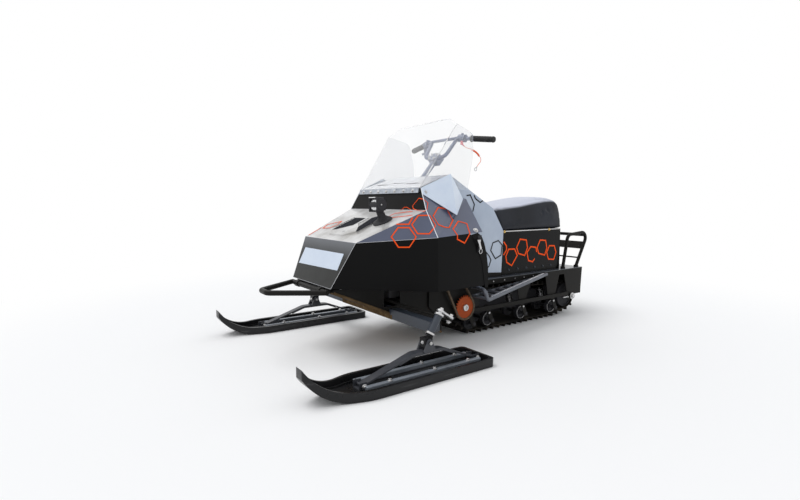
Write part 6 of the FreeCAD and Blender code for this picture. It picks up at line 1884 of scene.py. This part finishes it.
class SNOWMOBILE_OT_grip_ribs(Operator):
    """Flanges, ribs and end caps of the hand grips"""
    bl_idname = "snowmobile.grip_ribs"
    bl_label = "Grip Ribs"

    def execute(self, context):
        bm = bmesh.new()
        for side in (-1, 1):
            start, end = [at(x, side * y, z) for x, y, z in (BAR_RISE, BAR_END)]
            run = (end - start).normalized()
            inner = start.lerp(end, GRIP_SHARE)
            spread = (end - inner).length - RIBS_SHORT
            lathe_into(bm, FLANGE, inner, run, sides=28)
            for k in range(GRIP_RIBS):
                lathe_into(bm, RIB, inner + run * (RIB_START + spread * k / GRIP_RIBS), run, sides=28)
            lathe_into(bm, END_CAP, end, run, sides=28)
        mesh_object("grip_ribs", bm, "grip_rubber", "steering", sharp=35)
        return {"FINISHED"}


# Bar clamp: its middle, the column's lean, and its four bolts' places in front of it
CLAMP = (-0.820, 0.0, 1.022)
COLUMN_LEAN = math.radians(40.8554)
CLAMP_FRONT = 0.026
CLAMP_HALF = (0.016, 0.022)
CLAMP_HEAD = (0.006, 0.007)


class SNOWMOBILE_OT_clamp_bolts(Operator):
    """Four bolts of the bar's clamp"""
    bl_idname = "snowmobile.clamp_bolts"
    bl_label = "Clamp Bolts"

    def execute(self, context):
        up = Vector((-math.sin(COLUMN_LEAN), 0, math.cos(COLUMN_LEAN)))
        front = Vector((math.cos(COLUMN_LEAN), 0, math.sin(COLUMN_LEAN)))
        middle = at(*CLAMP) + front * CLAMP_FRONT
        spots = [(middle + up * (a * CLAMP_HALF[0]) + SIDE_AXIS * (b * CLAMP_HALF[1]), front)
                 for a in (-1, 1) for b in (-1, 1)]
        bolts("clamp_bolts", spots, CLAMP_HEAD, body_with("handlebar_clamp"))
        return {"FINISHED"}


PIECE_OPERATORS = [
    SNOWMOBILE_OT_finishes,
    SNOWMOBILE_OT_lanyard,
    SNOWMOBILE_OT_hood_lines,
    SNOWMOBILE_OT_box_lines,
    SNOWMOBILE_OT_hood_edges,
    SNOWMOBILE_OT_nose_plate,
    SNOWMOBILE_OT_hood_bolts,
    SNOWMOBILE_OT_latch_trim,
    SNOWMOBILE_OT_console_feet,
    SNOWMOBILE_OT_grilles,
    SNOWMOBILE_OT_seat,
    SNOWMOBILE_OT_skid_frame,
    SNOWMOBILE_OT_lamp,
    SNOWMOBILE_OT_front_gear,
    SNOWMOBILE_OT_box_screws,
    SNOWMOBILE_OT_frame_bolts,
    SNOWMOBILE_OT_roller_rims,
    SNOWMOBILE_OT_sprocket_hub,
    SNOWMOBILE_OT_tread_teeth,
    SNOWMOBILE_OT_box_strips,
    SNOWMOBILE_OT_tension_bolts,
    SNOWMOBILE_OT_belly_strips,
    SNOWMOBILE_OT_grip_ribs,
    SNOWMOBILE_OT_clamp_bolts,
]


class SNOWMOBILE_PT_looks(Panel):
    """Lists what this add-on builds"""
    bl_label = "Snowmobile Looks"
    bl_idname = "SNOWMOBILE_PT_looks"
    bl_space_type = "VIEW_3D"
    bl_region_type = "UI"
    bl_category = "Snowmobile"

    def draw(self, context):
        layout = self.layout
        scene = context.scene
        for group in (scene.snowmobile_colours, scene.snowmobile_sizes, scene.snowmobile_stage):
            for name in group.__annotations__:
                layout.prop(group, name)
        for operator in [SNOWMOBILE_OT_stage] + PIECE_OPERATORS:
            layout.operator(operator.bl_idname)


SETTINGS = [FinishColours, TrimSizes, StageSettings]
CLASSES = SETTINGS + [SNOWMOBILE_OT_stage] + PIECE_OPERATORS + [SNOWMOBILE_PT_looks]


def register():
    """Register every class and its settings."""
    for item in CLASSES:
        bpy.utils.register_class(item)
    bpy.types.Scene.snowmobile_colours = PointerProperty(type=FinishColours)
    bpy.types.Scene.snowmobile_sizes = PointerProperty(type=TrimSizes)
    bpy.types.Scene.snowmobile_stage = PointerProperty(type=StageSettings)


def unregister():
    """Take the settings and classes away again."""
    del bpy.types.Scene.snowmobile_stage
    del bpy.types.Scene.snowmobile_sizes
    del bpy.types.Scene.snowmobile_colours
    for item in reversed(CLASSES):
        bpy.utils.unregister_class(item)


def main():
    """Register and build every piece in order."""
    register()
    bpy.ops.snowmobile.stage()
    for operator in PIECE_OPERATORS:
        name = operator.bl_idname.split(".")[1]
        getattr(bpy.ops.snowmobile, name)()


if __name__ == "__main__":
    main()
